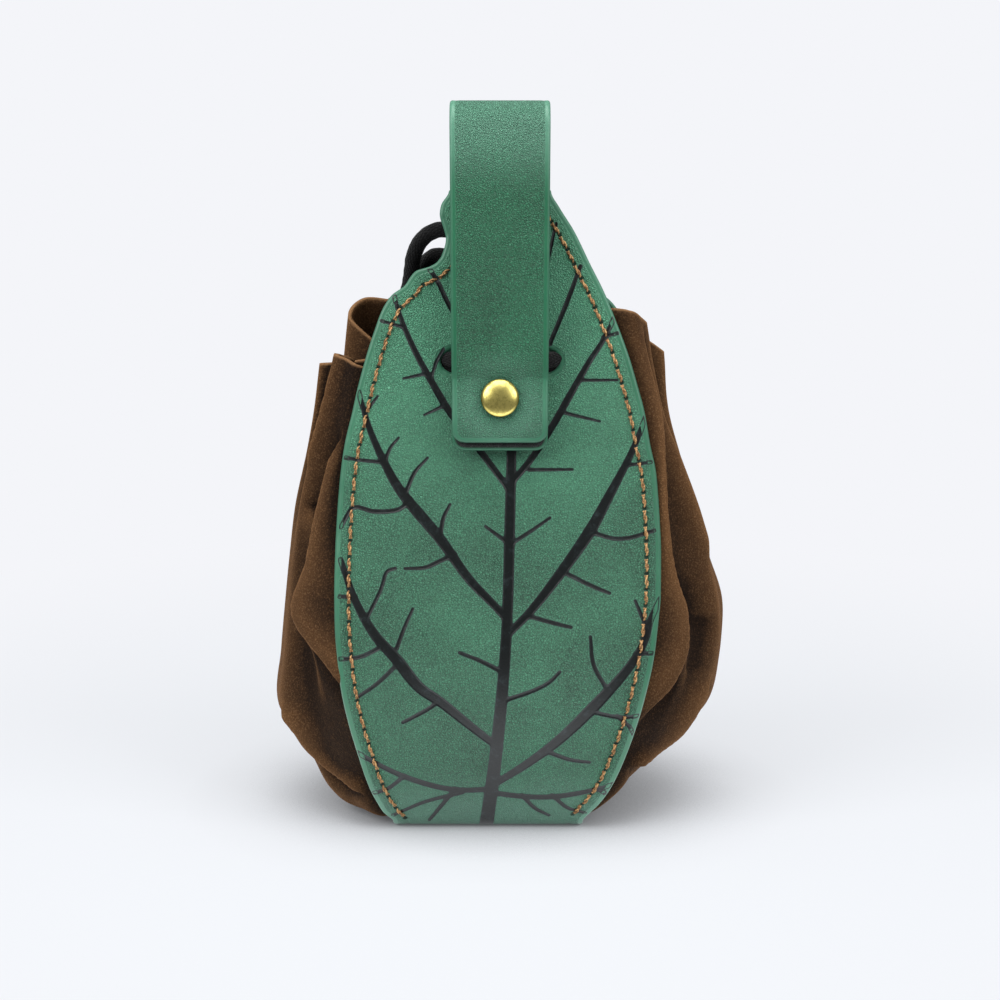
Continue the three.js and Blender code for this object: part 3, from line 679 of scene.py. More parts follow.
def cordPiece(name, line, thick=cordSizes["thick"]):
    line = evenly(line, cordSizes["ring"])
    rings, sides = len(line), cordSizes["sides"]
    across, up = tubeFrames(line)
    angle = np.linspace(0, 2 * math.pi, sides, endpoint=False)
    turns = runLength(line) / cordSizes["braidPitch"]
    crossing = turns[:, None] * 2 * math.pi
    wave = 2.5 * angle[None]
    lumps = np.abs(np.sin(wave + crossing / 2)) * np.abs(np.sin(wave - crossing / 2))
    size = thick / 2 * (1 - cordSizes["relief"] / 2 + cordSizes["relief"] * lumps)[..., None]
    around = across[:, None] * np.cos(angle)[None, :, None] + up[:, None] * np.sin(angle)[None, :, None]
    points = (line[:, None] + size * around).reshape(-1, 3)
    r, c = np.meshgrid(np.arange(rings - 1), np.arange(sides), indexing="ij")
    corners = np.stack([c, c + 1, c + 1, c], axis=-1).reshape(-1) / sides
    heights = np.stack([turns[r], turns[r], turns[r + 1], turns[r + 1]], axis=-1).reshape(-1)
    caps = [list(range(sides))[::-1], [(rings - 1) * sides + k for k in range(sides)]]
    piece = meshObject(name, points, [*ringFaces(rings, sides), *caps], cordFinish, merge=False)
    corners = np.concatenate([corners, np.full(2 * sides, 0.5)])
    heights = np.concatenate([heights, np.zeros(2 * sides)])
    wrap = piece.data.uv_layers.new(name="wrap")
    wrap.data.foreach_set("uv", np.stack([corners, heights], axis=1).ravel())
    cleanMesh(piece.data, False)
    return piece, line * mm


# An overhand knot: a closed three-leaved turn, squeezed to the room it has behind the leaf
def knotLine(size):
    t = np.linspace(0, 2 * math.pi, 240)
    x, y, z = -np.sin(3 * t), np.sin(t) + 2 * np.sin(2 * t), np.cos(t) - 2 * np.cos(2 * t)
    line = np.stack([x, y, z], axis=1)
    line /= np.abs(line).max(0)
    return line * np.array(size) + np.array(knotPlace)


cordSteps = 12
drawstringRun, _ = cordPiece("drawstringRun", through(runRoute, cordSteps))
outerTail, outerPath = cordPiece("drawstringOuterTail", through(outerTailRoute, cordSteps))
innerTail, innerPath = cordPiece("drawstringInnerTail", through(innerTailRoute, cordSteps))
drawstringKnot, _ = cordPiece("drawstringKnot", knotLine((6.0, 4.0, 4.0)), thick=4.4)
print("drawstring made")


# ---- leaf panel ----
leafSizes = {
    "thick": 1.8, "baseDepth": 61.6, "toeRadius": 7, "toeAngle": 60, "bellyRadius": 83, "lean": 14, "cup": 4,
    "half": 51.5, "rise": 200.5, "rearRise": 172, "rearShoulder": 148, "baseLeft": 32, "baseRight": 27,
    # The last value on the next line: painted reflection of the table, how much lighter the leaf's toe is
    "stemHalf": 15.5, "stemTop": 218.1, "columns": 121, "toeReflectionPaint": 0.6,
    "holeAcross": 4.3, "holeTall": 3.5, "holePlace": 14.0, "holeHeight": 148.8,
}
leftEdge = [
    (0.009, 0.664), (0.028, 0.722), (0.044, 0.752), (0.075, 0.802), (0.134, 0.868), (0.19, 0.925),
    (0.24, 0.963), (0.29, 0.985), (0.34, 1.0), (0.39, 1.003), (0.45, 0.998), (0.51, 0.986), (0.57, 0.966),
    (0.615, 0.94), (0.665, 0.893), (0.7, 0.862), (0.75, 0.808), (0.795, 0.75), (0.82, 0.712),
    (0.842, 0.655), (0.857, 0.575), (0.868, 0.546), (0.879, 0.507), (0.885, 0.43), (0.892, 0.382),
    (0.904, 0.35), (0.928, 0.327), (0.94, 0.338), (0.965, 0.365), (0.978, 0.357), (1.0, 0.309),
]
rightEdge = [
    (0.009, 0.515), (0.028, 0.561), (0.044, 0.61), (0.075, 0.68), (0.134, 0.771), (0.19, 0.839),
    (0.24, 0.889), (0.29, 0.93), (0.34, 0.955), (0.39, 0.973), (0.45, 0.975), (0.51, 0.965), (0.57, 0.946),
    (0.615, 0.909), (0.665, 0.874), (0.7, 0.837), (0.75, 0.779), (0.8, 0.706), (0.845, 0.633),
    (0.89, 0.544), (0.94, 0.447), (0.975, 0.36), (1.0, 0.309),
]

# Printed veins: width at the root, in the middle and at the tip, and points (x, height) on the leaf
veins = [
    (3.6, 2.7, 2.8, [(-4.5, 0), (-1.5, 26), (1, 52.5), (2.2, 71), (3, 98), (3.6, 122), (4, 134)]),
    (1.8, 3, 1.4, [(2.2, 71), (-2, 75.5), (-9.5, 83), (-18.5, 95), (-31, 109.5), (-35.5, 117), (-40.5, 128),
        (-44, 139.5)]),
    (1, 1, 0.8, [(-41.2, 134), (-38, 138)]),
    (1.1, 1.1, 1, [(-36, 118), (-43, 118.5), (-50.5, 119.5)]),
    (1.1, 1, 0.8, [(-35.5, 119), (-34, 122.5), (-31.5, 125.5)]),
    (1.2, 1.1, 0.8, [(-29, 109.5), (-26.5, 115), (-22.5, 119.5)]),
    (1.2, 1.2, 1, [(-28, 107), (-31, 104), (-39, 103), (-45.5, 104), (-49.5, 98)]),
    (1.1, 1.1, 0.8, [(-18.5, 96), (-17.5, 101.5), (-15.5, 105.5)]),
    (1.1, 1.1, 0.8, [(-14, 90.5), (-18.5, 88.5), (-23, 86.5), (-29.5, 86)]),
    (0.9, 1, 1, [(-32.5, 86), (-35, 85), (-37, 79.5), (-41.5, 70.5)]),
    (1.9, 3.1, 1.4, [(-0.5, 30.5), (-9.5, 38), (-18.5, 45.5), (-25, 50), (-32, 58.5), (-39, 66), (-45, 76),
        (-49.5, 88)]),
    (1.1, 1, 0.8, [(-32, 62), (-29.5, 68.5), (-27, 74)]),
    (1.1, 1.1, 1, [(-35.5, 63), (-43.5, 59), (-50.5, 58)]),
    (1.1, 1.1, 0.9, [(-31, 58), (-38, 51), (-44, 46.5)]),
    (1.1, 1.1, 0.9, [(-19.5, 46), (-20.5, 44.5), (-25.5, 41.2), (-30.3, 38.5)]),
    (1, 1, 0.9, [(-45, 77), (-50, 77)]),
    (1.6, 1.6, 1.2, [(-2.5, 15.5), (-11, 15), (-19, 16), (-31.5, 20.5), (-46, 28.5)]),
    (1.1, 1.1, 0.9, [(-30, 20), (-36, 15), (-42.5, 13)]),
    (1.2, 1.1, 0.9, [(-14, 15.5), (-18.5, 9), (-22.5, 3)]),
    (1.1, 1.1, 0.9, [(-12, 14), (-23.5, 10.5), (-34, 5)]),
    (1.7, 2.3, 1.2, [(3, 110), (-6, 121.5), (-11, 128), (-15, 132.5), (-21.5, 143), (-26.5, 152),
        (-30.5, 161), (-33.5, 170.5)]),
    (1.1, 1, 0.8, [(-23, 145), (-30, 143.5)]),
    (1.1, 1, 0.8, [(-17, 135.5), (-23.5, 132.5)]),
    (1, 1, 0.8, [(-21.5, 143), (-20, 148), (-17.5, 152.5)]),
    (1, 1, 0.9, [(-30, 159), (-37, 161)]),
    (1.4, 1.5, 1.4, [(-9, 155), (-16, 166), (-19.5, 173), (-22.8, 178)]),
    (1.7, 2.3, 1.2, [(2.5, 111), (9.5, 119), (16.5, 129.5), (23.5, 141.5), (28, 149), (32, 155),
        (37, 165)]),
    (1.1, 1, 0.8, [(20.5, 133), (31, 130.5)]),
    (1, 1, 0.8, [(25, 143), (36.5, 143)]),
    (1.1, 1, 0.8, [(9, 116), (22.5, 116)]),
    (1, 1, 0.9, [(32, 156), (37.5, 157.5)]),
    (1.4, 1.5, 1.3, [(15.5, 154), (21, 167), (25, 177.5)]),
    (1, 1.1, 1, [(15, 179), (16, 184), (17.5, 190.5)]),
    (1.8, 3.1, 1.4, [(3, 67), (9.5, 73.5), (18.5, 84.5), (28, 97.5), (34, 108), (40.5, 120), (45.5, 132)]),
    (1, 1, 0.9, [(39.5, 117), (48.5, 118)]),
    (1.1, 1.1, 1, [(28.5, 97), (35, 95), (40, 95), (48, 97)]),
    (1.1, 1.1, 0.9, [(21, 84.5), (28, 81), (34, 78.5)]),
    (1.1, 1.1, 0.9, [(9, 72), (16, 70), (22, 68.5)]),
    (1.1, 1, 0.8, [(2.5, 94), (-4.5, 99)]),
    (1.1, 1, 0.8, [(3, 93.5), (9.5, 97.5), (15.5, 101.5)]),
    (1.2, 1.1, 0.9, [(1, 55), (-6, 58.5), (-12.5, 61)]),
    (1.2, 1.1, 0.9, [(1, 46), (11, 49.5), (15.5, 52), (18.5, 55)]),
    (1.9, 3.1, 1.3, [(-1.5, 17.5), (9.5, 25.5), (18.5, 33), (28, 42.5), (40.5, 56.5), (45, 64),
        (46.5, 69.5), (50, 76.5)]),
    (1, 1, 0.8, [(45, 69), (42, 76)]),
    (1, 1, 0.9, [(42, 60), (49.5, 60)]),
    (1.1, 1.1, 0.9, [(33, 49.5), (29, 57), (28, 65.5)]),
    (1.1, 1.1, 0.9, [(27, 42.5), (37.5, 40), (45.5, 40.5)]),
    (1, 1, 0.9, [(36.5, 40.5), (40.5, 36.5), (42.5, 32)]),
    (1.1, 1.1, 0.9, [(14.5, 29), (22, 26), (28, 25)]),
    (1.6, 1.6, 1.2, [(-2.5, 14), (8, 12.5), (17.5, 12.5), (30, 15), (37.5, 17.5)]),
    (1.1, 1.1, 0.9, [(7, 13), (11, 8), (15.5, 5)]),
    (1.1, 1.1, 0.9, [(16.5, 13), (21.5, 8), (27, 6)]),
    (1, 1, 0.9, [(30.5, 15.5), (35, 12)]),
]
printSizes = {
    "lowSpread": 0.24, "spreadEnds": (90, 140), "grid": 0.35, "proud": 0.05, "reach": 4.0, "soft": 0.25,
    "hollowEnd": 0.6, "fullFrom": 2.1,
}
stitchSizes = {
    "inset": 4.6, "pitch": 4.9, "gap": 0.45, "thread": 0.36, "rise": 0.5, "twist": 1.2, "groove": 0.16,
    "grooveWidth": 0.7, "slant": 0.09, "strandGap": 0.85,
}


def profileAt(height):
    toe, belly = math.radians(leafSizes["toeAngle"]), leafSizes["bellyRadius"]
    steep = math.radians(90 + leafSizes["lean"])
    toeTop = leafSizes["toeRadius"] * (1 - math.cos(toe))
    toeFront = -leafSizes["baseDepth"] / 2 - leafSizes["toeRadius"] * math.sin(toe)
    bellyTop = toeTop + belly * (math.cos(toe) - math.cos(steep))
    height = np.maximum(np.asarray(height, float), 0)
    low = np.arccos(np.clip(1 - height / leafSizes["toeRadius"], -1, 1))
    middle = np.arccos(np.clip(math.cos(toe) - (height - toeTop) / belly, -1, 1))
    slope = np.where(height <= toeTop, low, np.where(height <= bellyTop, middle, steep))
    lowPlace = -leafSizes["baseDepth"] / 2 - leafSizes["toeRadius"] * np.sin(low)
    arcPlace = toeFront - belly * (np.sin(slope) - math.sin(toe))
    straight = arcPlace + (height - bellyTop) * math.tan(math.radians(leafSizes["lean"]))
    return np.where(height <= toeTop, lowPlace, np.where(height <= bellyTop, arcPlace, straight)), slope


def curlBack(x, height):
    rise = leafSizes["rise"]
    shape = smooth(height, 0, 0.2 * rise) * (1 - smooth(height, 0.5 * rise, 0.82 * rise))
    return leafSizes["cup"] * (x / leafSizes["half"]) ** 2 * shape


def leafPoint(x, height, depth, rear=1):
    y, slope = profileAt(height)
    inward = y + curlBack(x, height) + depth * np.sin(slope)
    return np.stack([x + 0 * inward, rear * inward, np.maximum(height, 0) + depth * np.cos(slope)], axis=-1)


def edgeAt(side, height):
    table = leftEdge if side < 0 else rightEdge
    return leafSizes["half"] * readTable(table, np.asarray(height) / leafSizes["rise"])


def rearEdgeAt(side, height):
    shoulder = leafSizes["rearShoulder"]
    up = np.clip((np.asarray(height, float) - shoulder) / (leafSizes["rearRise"] - shoulder), 0, 1)
    return edgeAt(side, np.minimum(height, shoulder)) * np.maximum(np.sqrt(1 - up ** 3), 0.12)


# The strip is laid out flat: s is the height on the front leaf, runs under the base, then up the rear leaf
def stripHalf(side, s):
    s = np.asarray(s, float)
    depth = leafSizes["baseDepth"]
    front = np.where(s > leafSizes["rise"], leafSizes["stemHalf"], edgeAt(side, s))
    rear = rearEdgeAt(side, -depth - s)
    corner = edgeAt(side, 0.0)
    under = leafSizes["baseLeft"] if side < 0 else leafSizes["baseRight"]
    fromEnd = np.minimum(-s, s + depth)
    base = under + (corner - under) * (1 - smooth(fromEnd, 0, 8))
    return np.where(s >= 0, front, np.where(s > -depth, base, rear))


def stripPlace(x, s, depth):
    base = np.stack([x, -leafSizes["baseDepth"] / 2 - s, depth + 0 * x], axis=-1)
    front = leafPoint(x, s, depth)
    rear = leafPoint(x, -leafSizes["baseDepth"] - s, depth, -1)
    picked = np.where((s >= 0)[..., None], front, base)
    return np.where((s <= -leafSizes["baseDepth"])[..., None], rear, picked)


def stripRows():
    base, rise, shoulder = leafSizes["baseDepth"], leafSizes["rise"], leafSizes["rearShoulder"]
    share = 1 - (1 - np.linspace(0, 1, 22)) ** 1.7
    rearTop = shoulder + (leafSizes["rearRise"] - shoulder) * share
    rear = np.concatenate([np.linspace(0, 4, 7), np.linspace(6.4, shoulder, 60)[:-1], rearTop])
    front = [np.linspace(0, 4, 10), np.linspace(4.9, 164, 176), np.linspace(164.5, 185, 50)]
    tip = [np.linspace(185.9, rise, 18), np.linspace(rise + 0.4, leafSizes["stemTop"], 14)]
    return np.concatenate([(-base - rear)[::-1], np.linspace(-base, 0, 16)[1:-1], *front, *tip])


def stripOutline():
    s = np.linspace(leafSizes["stemTop"] + 6, -leafSizes["baseDepth"] - leafSizes["rearRise"], 900)
    left = np.stack([-stripHalf(-1, s), s], axis=1)
    right = np.stack([stripHalf(1, s), s], axis=1)[::-1]
    return evenly(np.concatenate([left, right]), 0.8)


def rowsAcross(s, columns):
    margin = np.array([0, 0.12, 0.32, 0.6, 0.95, 1.5])
    left, right = -stripHalf(-1, s)[:, None], stripHalf(1, s)[:, None]
    middle = np.linspace(0, 1, columns - 2 * len(margin) + 2)[None, 1:-1]
    start, end = left + margin[-1], right - margin[-1]
    across = np.concatenate([left + margin, start + (end - start) * middle, right - margin[::-1]], axis=1)
    return np.stack([across, np.repeat(s[:, None], across.shape[1], axis=1)], axis=-1)


# Each hole: grid points inside it move to its rim, and faces wholly inside go
def openHoles(flat):
    spots = flat.reshape(-1, 2)
    kept = np.ones(len(spots), bool)
    rim = np.full(len(spots), 50.0)
    size = np.array([leafSizes["holeAcross"], leafSizes["holeTall"]])
    rearHeight = -leafSizes["baseDepth"] - leafSizes["holeHeight"]
    for x in (-leafSizes["holePlace"], leafSizes["holePlace"]):
        for s in (leafSizes["holeHeight"], rearHeight):
            away = (spots - (x, s)) / size
            ratio = np.linalg.norm(away, axis=1)
            inside = ratio < 1
            kept &= ~inside
            spots[inside] = (x, s) + away[inside] / np.maximum(ratio[inside], 1e-6)[:, None] * size
            rim = np.minimum(rim, np.maximum(ratio - 1, 0) * size.mean())
    return spots.reshape(flat.shape), kept, rim


# Distance to the nearest printed vein, below zero on it
def veinField(spots):
    total = np.full(len(spots), 1e-12)
    reach, soft = printSizes["reach"], printSizes["soft"]
    for root, middle, tip, points in veins:
        line = evenly(through(points, 8), 0.4)
        width = np.interp(np.linspace(0, 1, len(line)), [0, 0.5, 1], [root, middle, tip]) / 2
        width *= 1 + printSizes["lowSpread"] * (1 - smooth(line[:, 1], *printSizes["spreadEnds"]))
        low, high = line.min(0) - reach, line.max(0) + reach
        near = np.where(((spots > low) & (spots < high)).all(1))[0]
        for part in slices(len(near)):
            found = near[part]
            gaps = np.linalg.norm(spots[found][:, None] - line[None], axis=2) - width[None]
            total[found] += np.exp(-gaps.min(1) / soft)
    return np.clip(-soft * np.log(total), -3, 6)


# The part of a flat grid where a field is below zero, with cells cut along the line of zero
def patchBelow(xs, ss, field):
    inside = field < 0
    touched = inside[:-1, :-1] | inside[1:, :-1] | inside[:-1, 1:] | inside[1:, 1:]
    numbers, spots, faces = {}, [], []

    def corner(a, b):
        key = (a, b) if a < b else (b, a)
        if key not in numbers:
            share = 0 if a == b else field[key[0]] / (field[key[0]] - field[key[1]])
            first, second = np.array(key[0]), np.array(key[1])
            row, column = first + (second - first) * share
            numbers[key] = len(spots)
            spots.append((xs[0] + column * (xs[1] - xs[0]), ss[0] + row * (ss[1] - ss[0])))
        return numbers[key]

    for r, c in np.argwhere(touched):
        ring = [(r, c), (r, c + 1), (r + 1, c + 1), (r + 1, c)]
        face = []
        for k in range(4):
            a, b = ring[k], ring[(k + 1) % 4]
            if inside[a]:
                face.append(corner(a, a))
            if inside[a] != inside[b]:
                face.append(corner(a, b))
        faces.append(face)
    return np.array(spots), faces


# Shallow groove that the stitches lie in
def groove(edge):
    return stitchSizes["groove"] * np.exp(-((edge - stitchSizes["inset"]) / stitchSizes["grooveWidth"]) ** 2)


def veinPrint():
    xs = np.arange(-leafSizes["half"] - 1, leafSizes["half"] + 1, printSizes["grid"])
    ss = np.arange(0.4, leafSizes["rise"], printSizes["grid"])
    spots = np.stack(np.meshgrid(xs, ss), axis=-1).reshape(-1, 2)
    field = veinField(spots)
    near = field < 1
    edge = np.full(len(field), 50.0)
    edge[near] = distanceTo(spots[near], outline)
    outside = (spots[:, 0] < -stripHalf(-1, spots[:, 1])) | (spots[:, 0] > stripHalf(1, spots[:, 1]))
    edge = np.where(outside, -edge, edge)
    limit = np.maximum(field, printSizes["fullFrom"] - edge).reshape(len(ss), len(xs))
    spots, faces = patchBelow(xs, ss, limit)
    edge = distanceTo(spots, outline)
    depth = rounding(edge, leafSizes["thick"] / 2) + groove(edge) - printSizes["proud"]
    points = stripPlace(spots[:, 0], spots[:, 1], depth)
    piece = meshObject("veinPrint", points, faces, inkFinish, {"vein": veinField(spots)}, merge=False)
    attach(piece, "root")
    return piece


# Line of the stitches, inset from the outline; loops that the inset makes at sharp turns are dropped
def stitchLine(outline, inset):
    along = unit(np.gradient(outline, axis=0))
    inner = outline + inset * np.stack([-along[:, 1], along[:, 0]], axis=1)
    inner = inner[distanceTo(inner, outline) > inset - 0.12]
    line = evenly(inner, 1.0)
    for _ in range(3):
        line[1:-1] = (line[:-2] + 2 * line[1:-1] + line[2:]) / 4
    return evenly(line, stitchSizes["pitch"])


outline = stripOutline()
pits = stitchLine(outline, stitchSizes["inset"])
onLeaf = (pits[:, 1] > 1) | (pits[:, 1] < -leafSizes["baseDepth"] - 1)
pits = pits[onLeaf & (pits[:, 1] < leafSizes["rise"] - 4)]


# Distance to the leaf's rim; at the top of the stem, where the strap goes on, there is none
def leafEdge(flat):
    spots = flat.reshape(-1, 2)
    ends = np.zeros(flat.shape[:2], bool)
    ends[:, [0, -1]] = True
    ends[0] = True
    edge = np.where(ends.ravel(), 0, distanceTo(spots, outline))
    top = (spots[:, 1] > leafSizes["stemTop"] - 0.01) & ~ends.ravel()
    return np.where(top, np.maximum(edge, leafSizes["thick"]), edge)


def leafPanel():
    flat, kept, rim = openHoles(rowsAcross(stripRows(), leafSizes["columns"]))
    spots, edge = flat.reshape(-1, 2), leafEdge(flat)
    front = spots[:, 1] > -2
    vein = np.full(len(spots), 6.0)
    vein[front] = np.maximum(veinField(spots[front]), printSizes["hollowEnd"] - edge[front])
    # Distance to the nearest stitch hole, for its dent and its painted shade
    holeDentAndShade = np.zeros(len(spots))
    for part in slices(len(spots)):
        holeDentAndShade[part] = np.linalg.norm(spots[part, None] - pits[None], axis=2).min(1)
    press = np.where(edge < 1.2, 0, groove(edge)) * (rim > 1)
    # Painted reflection of the table: lighter on the leaf's toe, fading out about 24 mm up
    paintedLight = leafSizes["toeReflectionPaint"] * smooth(spots[:, 1], 24, 4) * smooth(spots[:, 1], -6, 0)
    values = {"vein": vein, "holeDentAndShade": np.clip(holeDentAndShade, 0, 9), "paintedLight": paintedLight}
    piece = leatherSlab(
        "leafPanel", flat, np.minimum(edge, rim), stripPlace, leafSizes["thick"], printedLeather, values, 1,
        press, kept, openEnd=True)
    return standsFor(piece, "leaf_panel")


leafPanelPiece = leafPanel()
veinPrintPiece = veinPrint()
print("leaf panel made, faces:", len(leafPanelPiece.data.polygons))
print("print made, faces:", len(veinPrintPiece.data.polygons))


# ---- stitches ----
# A short thread of two strands that dips into its holes, for stitchTree
def stitchThread(tree, given):
    half = times(tree, given["stitchLength"], 0.5)
    start = nodeOut(tree, "ShaderNodeCombineXYZ", {0: times(tree, half, -1.0)})
    end = nodeOut(tree, "ShaderNodeCombineXYZ", {0: half})
    line = nodeOut(tree, "GeometryNodeCurvePrimitiveLine", {"Start": start, "End": end})
    line = nodeOut(tree, "GeometryNodeResampleCurve", {"Curve": line, "Count": 8})
    share = put(tree, "GeometryNodeSplineParameter").outputs["Factor"]
    fromMiddle = calc(tree, "ABSOLUTE", minus(tree, times(tree, share, 2.0), 1.0))
    away = calc(tree, "POWER", fromMiddle, 3.0)
    lift = times(tree, given["rise"], minus(tree, 1.0, times(tree, away, 2.4)))
    offset = nodeOut(tree, "ShaderNodeCombineXYZ", {2: lift})
    line = nodeOut(tree, "GeometryNodeSetPosition", {"Geometry": line, "Offset": offset})
    turn = times(tree, times(tree, share, given["turns"]), 2 * math.pi)
    line = nodeOut(tree, "GeometryNodeSetCurveTilt", {"Curve": line, "Tilt": turn})
    strands = put(tree, "GeometryNodeJoinGeometry")
    radius = given["threadRadius"]
    for way in (stitchSizes["strandGap"], -stitchSizes["strandGap"]):
        ring = nodeOut(tree, "GeometryNodeCurvePrimitiveCircle", {"Resolution": 5, "Radius": radius})
        shift = nodeOut(tree, "ShaderNodeCombineXYZ", {0: times(tree, radius, way)})
        moved = put(tree, "GeometryNodeTransform", None, {"Geometry": ring, "Translation": shift})
        tree.links.new(moved.outputs[0], strands.inputs[0])
    sweep = {"Curve": line, "Profile Curve": strands.outputs[0], "Fill Caps": True}
    thread = nodeOut(tree, "GeometryNodeCurveToMesh", sweep)
    return nodeOut(tree, "GeometryNodeSetShadeSmooth", {"Geometry": thread})


# Along the thread and out of the leather, from the points' own attributes
def stitchTurn(tree):
    along, outward = [
        nodeOut(tree, "GeometryNodeInputNamedAttribute", {"Name": name}, {"data_type": "FLOAT_VECTOR"})
        for name in ("alongThread", "outOfFace")]
    first = nodeOut(tree, "FunctionNodeAlignRotationToVector", {"Vector": along}, {"axis": "X"})
    settings = {"axis": "Z", "pivot_axis": "X"}
    return nodeOut(tree, "FunctionNodeAlignRotationToVector", {"Rotation": first, "Vector": outward}, settings)


def stitchTree():
    tree = bpy.data.node_groups.new("stitchRow", "GeometryNodeTree")
    tree.interface.new_socket(name="Geometry", in_out="INPUT", socket_type="NodeSocketGeometry")
    tree.interface.new_socket(name="Geometry", in_out="OUTPUT", socket_type="NodeSocketGeometry")
    for label in ("stitchLength", "threadRadius", "rise", "turns"):
        tree.interface.new_socket(name=label, in_out="INPUT", socket_type=floatSocket)
    tree.interface.new_socket(name="finish", in_out="INPUT", socket_type="NodeSocketMaterial")
    given, result = tree.nodes.new("NodeGroupInput").outputs, tree.nodes.new("NodeGroupOutput")
    thread, turn = stitchThread(tree, given), stitchTurn(tree)
    spread = {"Points": given["Geometry"], "Instance": thread, "Rotation": turn}
    placed = nodeOut(tree, "GeometryNodeInstanceOnPoints", spread)
    real = nodeOut(tree, "GeometryNodeRealizeInstances", {0: placed})
    dressed = put(tree, "GeometryNodeSetMaterial", None, {"Geometry": real, "Material": given["finish"]})
    tree.links.new(dressed.outputs[0], result.inputs[0])
    return tree


def stitchRow(name, centres, alongs, normals, length, tree):
    mesh = bpy.data.meshes.new(name + "Places")
    mesh.from_pydata((centres * mm).tolist(), [], [])
    for key, numbers in (("alongThread", alongs), ("outOfFace", normals)):
        layer = mesh.attributes.new(key, "FLOAT_VECTOR", "POINT")
        layer.data.foreach_set("vector", np.asarray(numbers, np.float32).ravel())
    holder = bpy.data.objects.new(name + "Places", mesh)
    scene.collection.objects.link(holder)
    row = holder.modifiers.new("stitchRow", "NODES")
    row.node_group = tree
    given = {item.name: item.identifier for item in tree.interface.items_tree if item.in_out == "INPUT"}
    row[given["stitchLength"]] = length * mm
    row[given["threadRadius"]] = stitchSizes["thread"] * mm
    row[given["rise"]] = stitchSizes["rise"] * mm
    row[given["turns"]] = stitchSizes["twist"]
    row[given["finish"]] = threadFinish
    graph = bpy.context.evaluated_depsgraph_get()
    made = bpy.data.meshes.new_from_object(holder.evaluated_get(graph), depsgraph=graph)
    bpy.data.objects.remove(holder)
    made.name = name
    piece = bpy.data.objects.new(name, made)
    scene.collection.objects.link(piece)
    return piece


def leafStitches():
    def laid(spots, depth):
        return stripPlace(spots[:, 0], spots[:, 1], np.full(len(spots), depth))

    start, end = pits[:-1], pits[1:]
    good = np.linalg.norm(end - start, axis=1) < 2 * stitchSizes["pitch"]
    start, end = start[good], end[good]
    middle = (start + end) / 2
    run = laid(end, -0.02) - laid(start, -0.02)
    surface = laid(middle, stitchSizes["groove"])
    outward = unit(surface - laid(middle, 1.0))
    along = unit(run)
    along = along + stitchSizes["slant"] * np.cross(outward, along)
    stitchLength = float(np.median(np.linalg.norm(run, axis=1))) - stitchSizes["gap"]
    piece = stitchRow("edgeStitches", surface, along, outward, stitchLength, stitchTree())
    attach(piece, "root")
    return piece


edgeStitches = leafStitches()
print("stitches made, faces:", len(edgeStitches.data.polygons))


# ---- belt loop ----
loopSizes = {
    "topWidth": 31, "endWidth": 29.4, "foldRadius": 5, "liningEnd": 121.6, "facingShort": 2.8,
    "facingTuck": 26, "corner": 4, "endGap": 2.8, "seat": 0.3, "snapHeight": 137, "snapGap": 4.2,
    "capRadius": 5.85,
    "cordHeight": 148.6, "cord": 5, "innerColumns": 28, "rowStep": 0.9, "pressLine": 1.9, "pressDepth": 0.1,
    # The last three values below: painted light, how much lighter the top of the fold, a ring round the cap
    # and the strap's end are
    "snapHollow": 0.38, "topLightPaint": 0.5, "haloLightPaint": 0.2, "endLightPaint": 0.16,
}
rimRows = np.array([0, 0.12, 0.32, 0.6, 0.95, 1.4, 2, 2.8, 3.6])
rimColumns = np.array([0, 0.12, 0.32, 0.6, 0.95, 1.4, 1.9, 2.4])
leanTurn = math.radians(leafSizes["lean"])


def alongLeaf(height):
    return (leafSizes["stemTop"] - height) / math.cos(leanTurn)


def gapAt(down):
    fold, cord, seat = loopSizes["foldRadius"], loopSizes["cord"], loopSizes["seat"]
    toCord, toSnap = alongLeaf(loopSizes["cordHeight"]), alongLeaf(loopSizes["snapHeight"])
    radius, snapGap, end = loopSizes["capRadius"], loopSizes["snapGap"], alongLeaf(loopSizes["liningEnd"])
    return readTable([
        (0, 2 * fold), (0.45 * toCord, 1.8 * fold), (toCord - cord, 1.15 * cord + 2 * seat),
        (toCord + cord / 4, cord + 2 * seat), (toSnap - radius, snapGap), (toSnap + radius, snapGap),
        (end, loopSizes["endGap"]),
    ], down)


# Rows (y, z, how far down the front) of the loop's inner face
def loopPath(tuck, endDown):
    stemTop, fold = leafSizes["stemTop"], loopSizes["foldRadius"]
    stemY = float(profileAt(stemTop)[0])
    rows = []
    for down in np.linspace(tuck, tuck / 30, 30) if tuck else []:
        height = stemTop - down * math.cos(leanTurn)
        rows.append((float(profileAt(height)[0]), height, 0))
    centreY, centreZ = stemY - fold * math.cos(leanTurn), stemTop + fold * math.sin(leanTurn)
    startTurn = 90 + leafSizes["lean"] - (0 if tuck else 4)
    for turn in np.radians(np.linspace(startTurn, leafSizes["lean"] - 90, 40)):
        rows.append((centreY + fold * math.sin(turn), centreZ + fold * math.cos(turn), 0))
    for down in np.linspace(0, endDown, 130)[1:]:
        gap = float(gapAt(down))
        y = stemY - down * math.sin(leanTurn) - gap * math.cos(leanTurn)
        rows.append((y, stemTop - down * math.cos(leanTurn) + gap * math.sin(leanTurn), down))
    return np.array(rows)


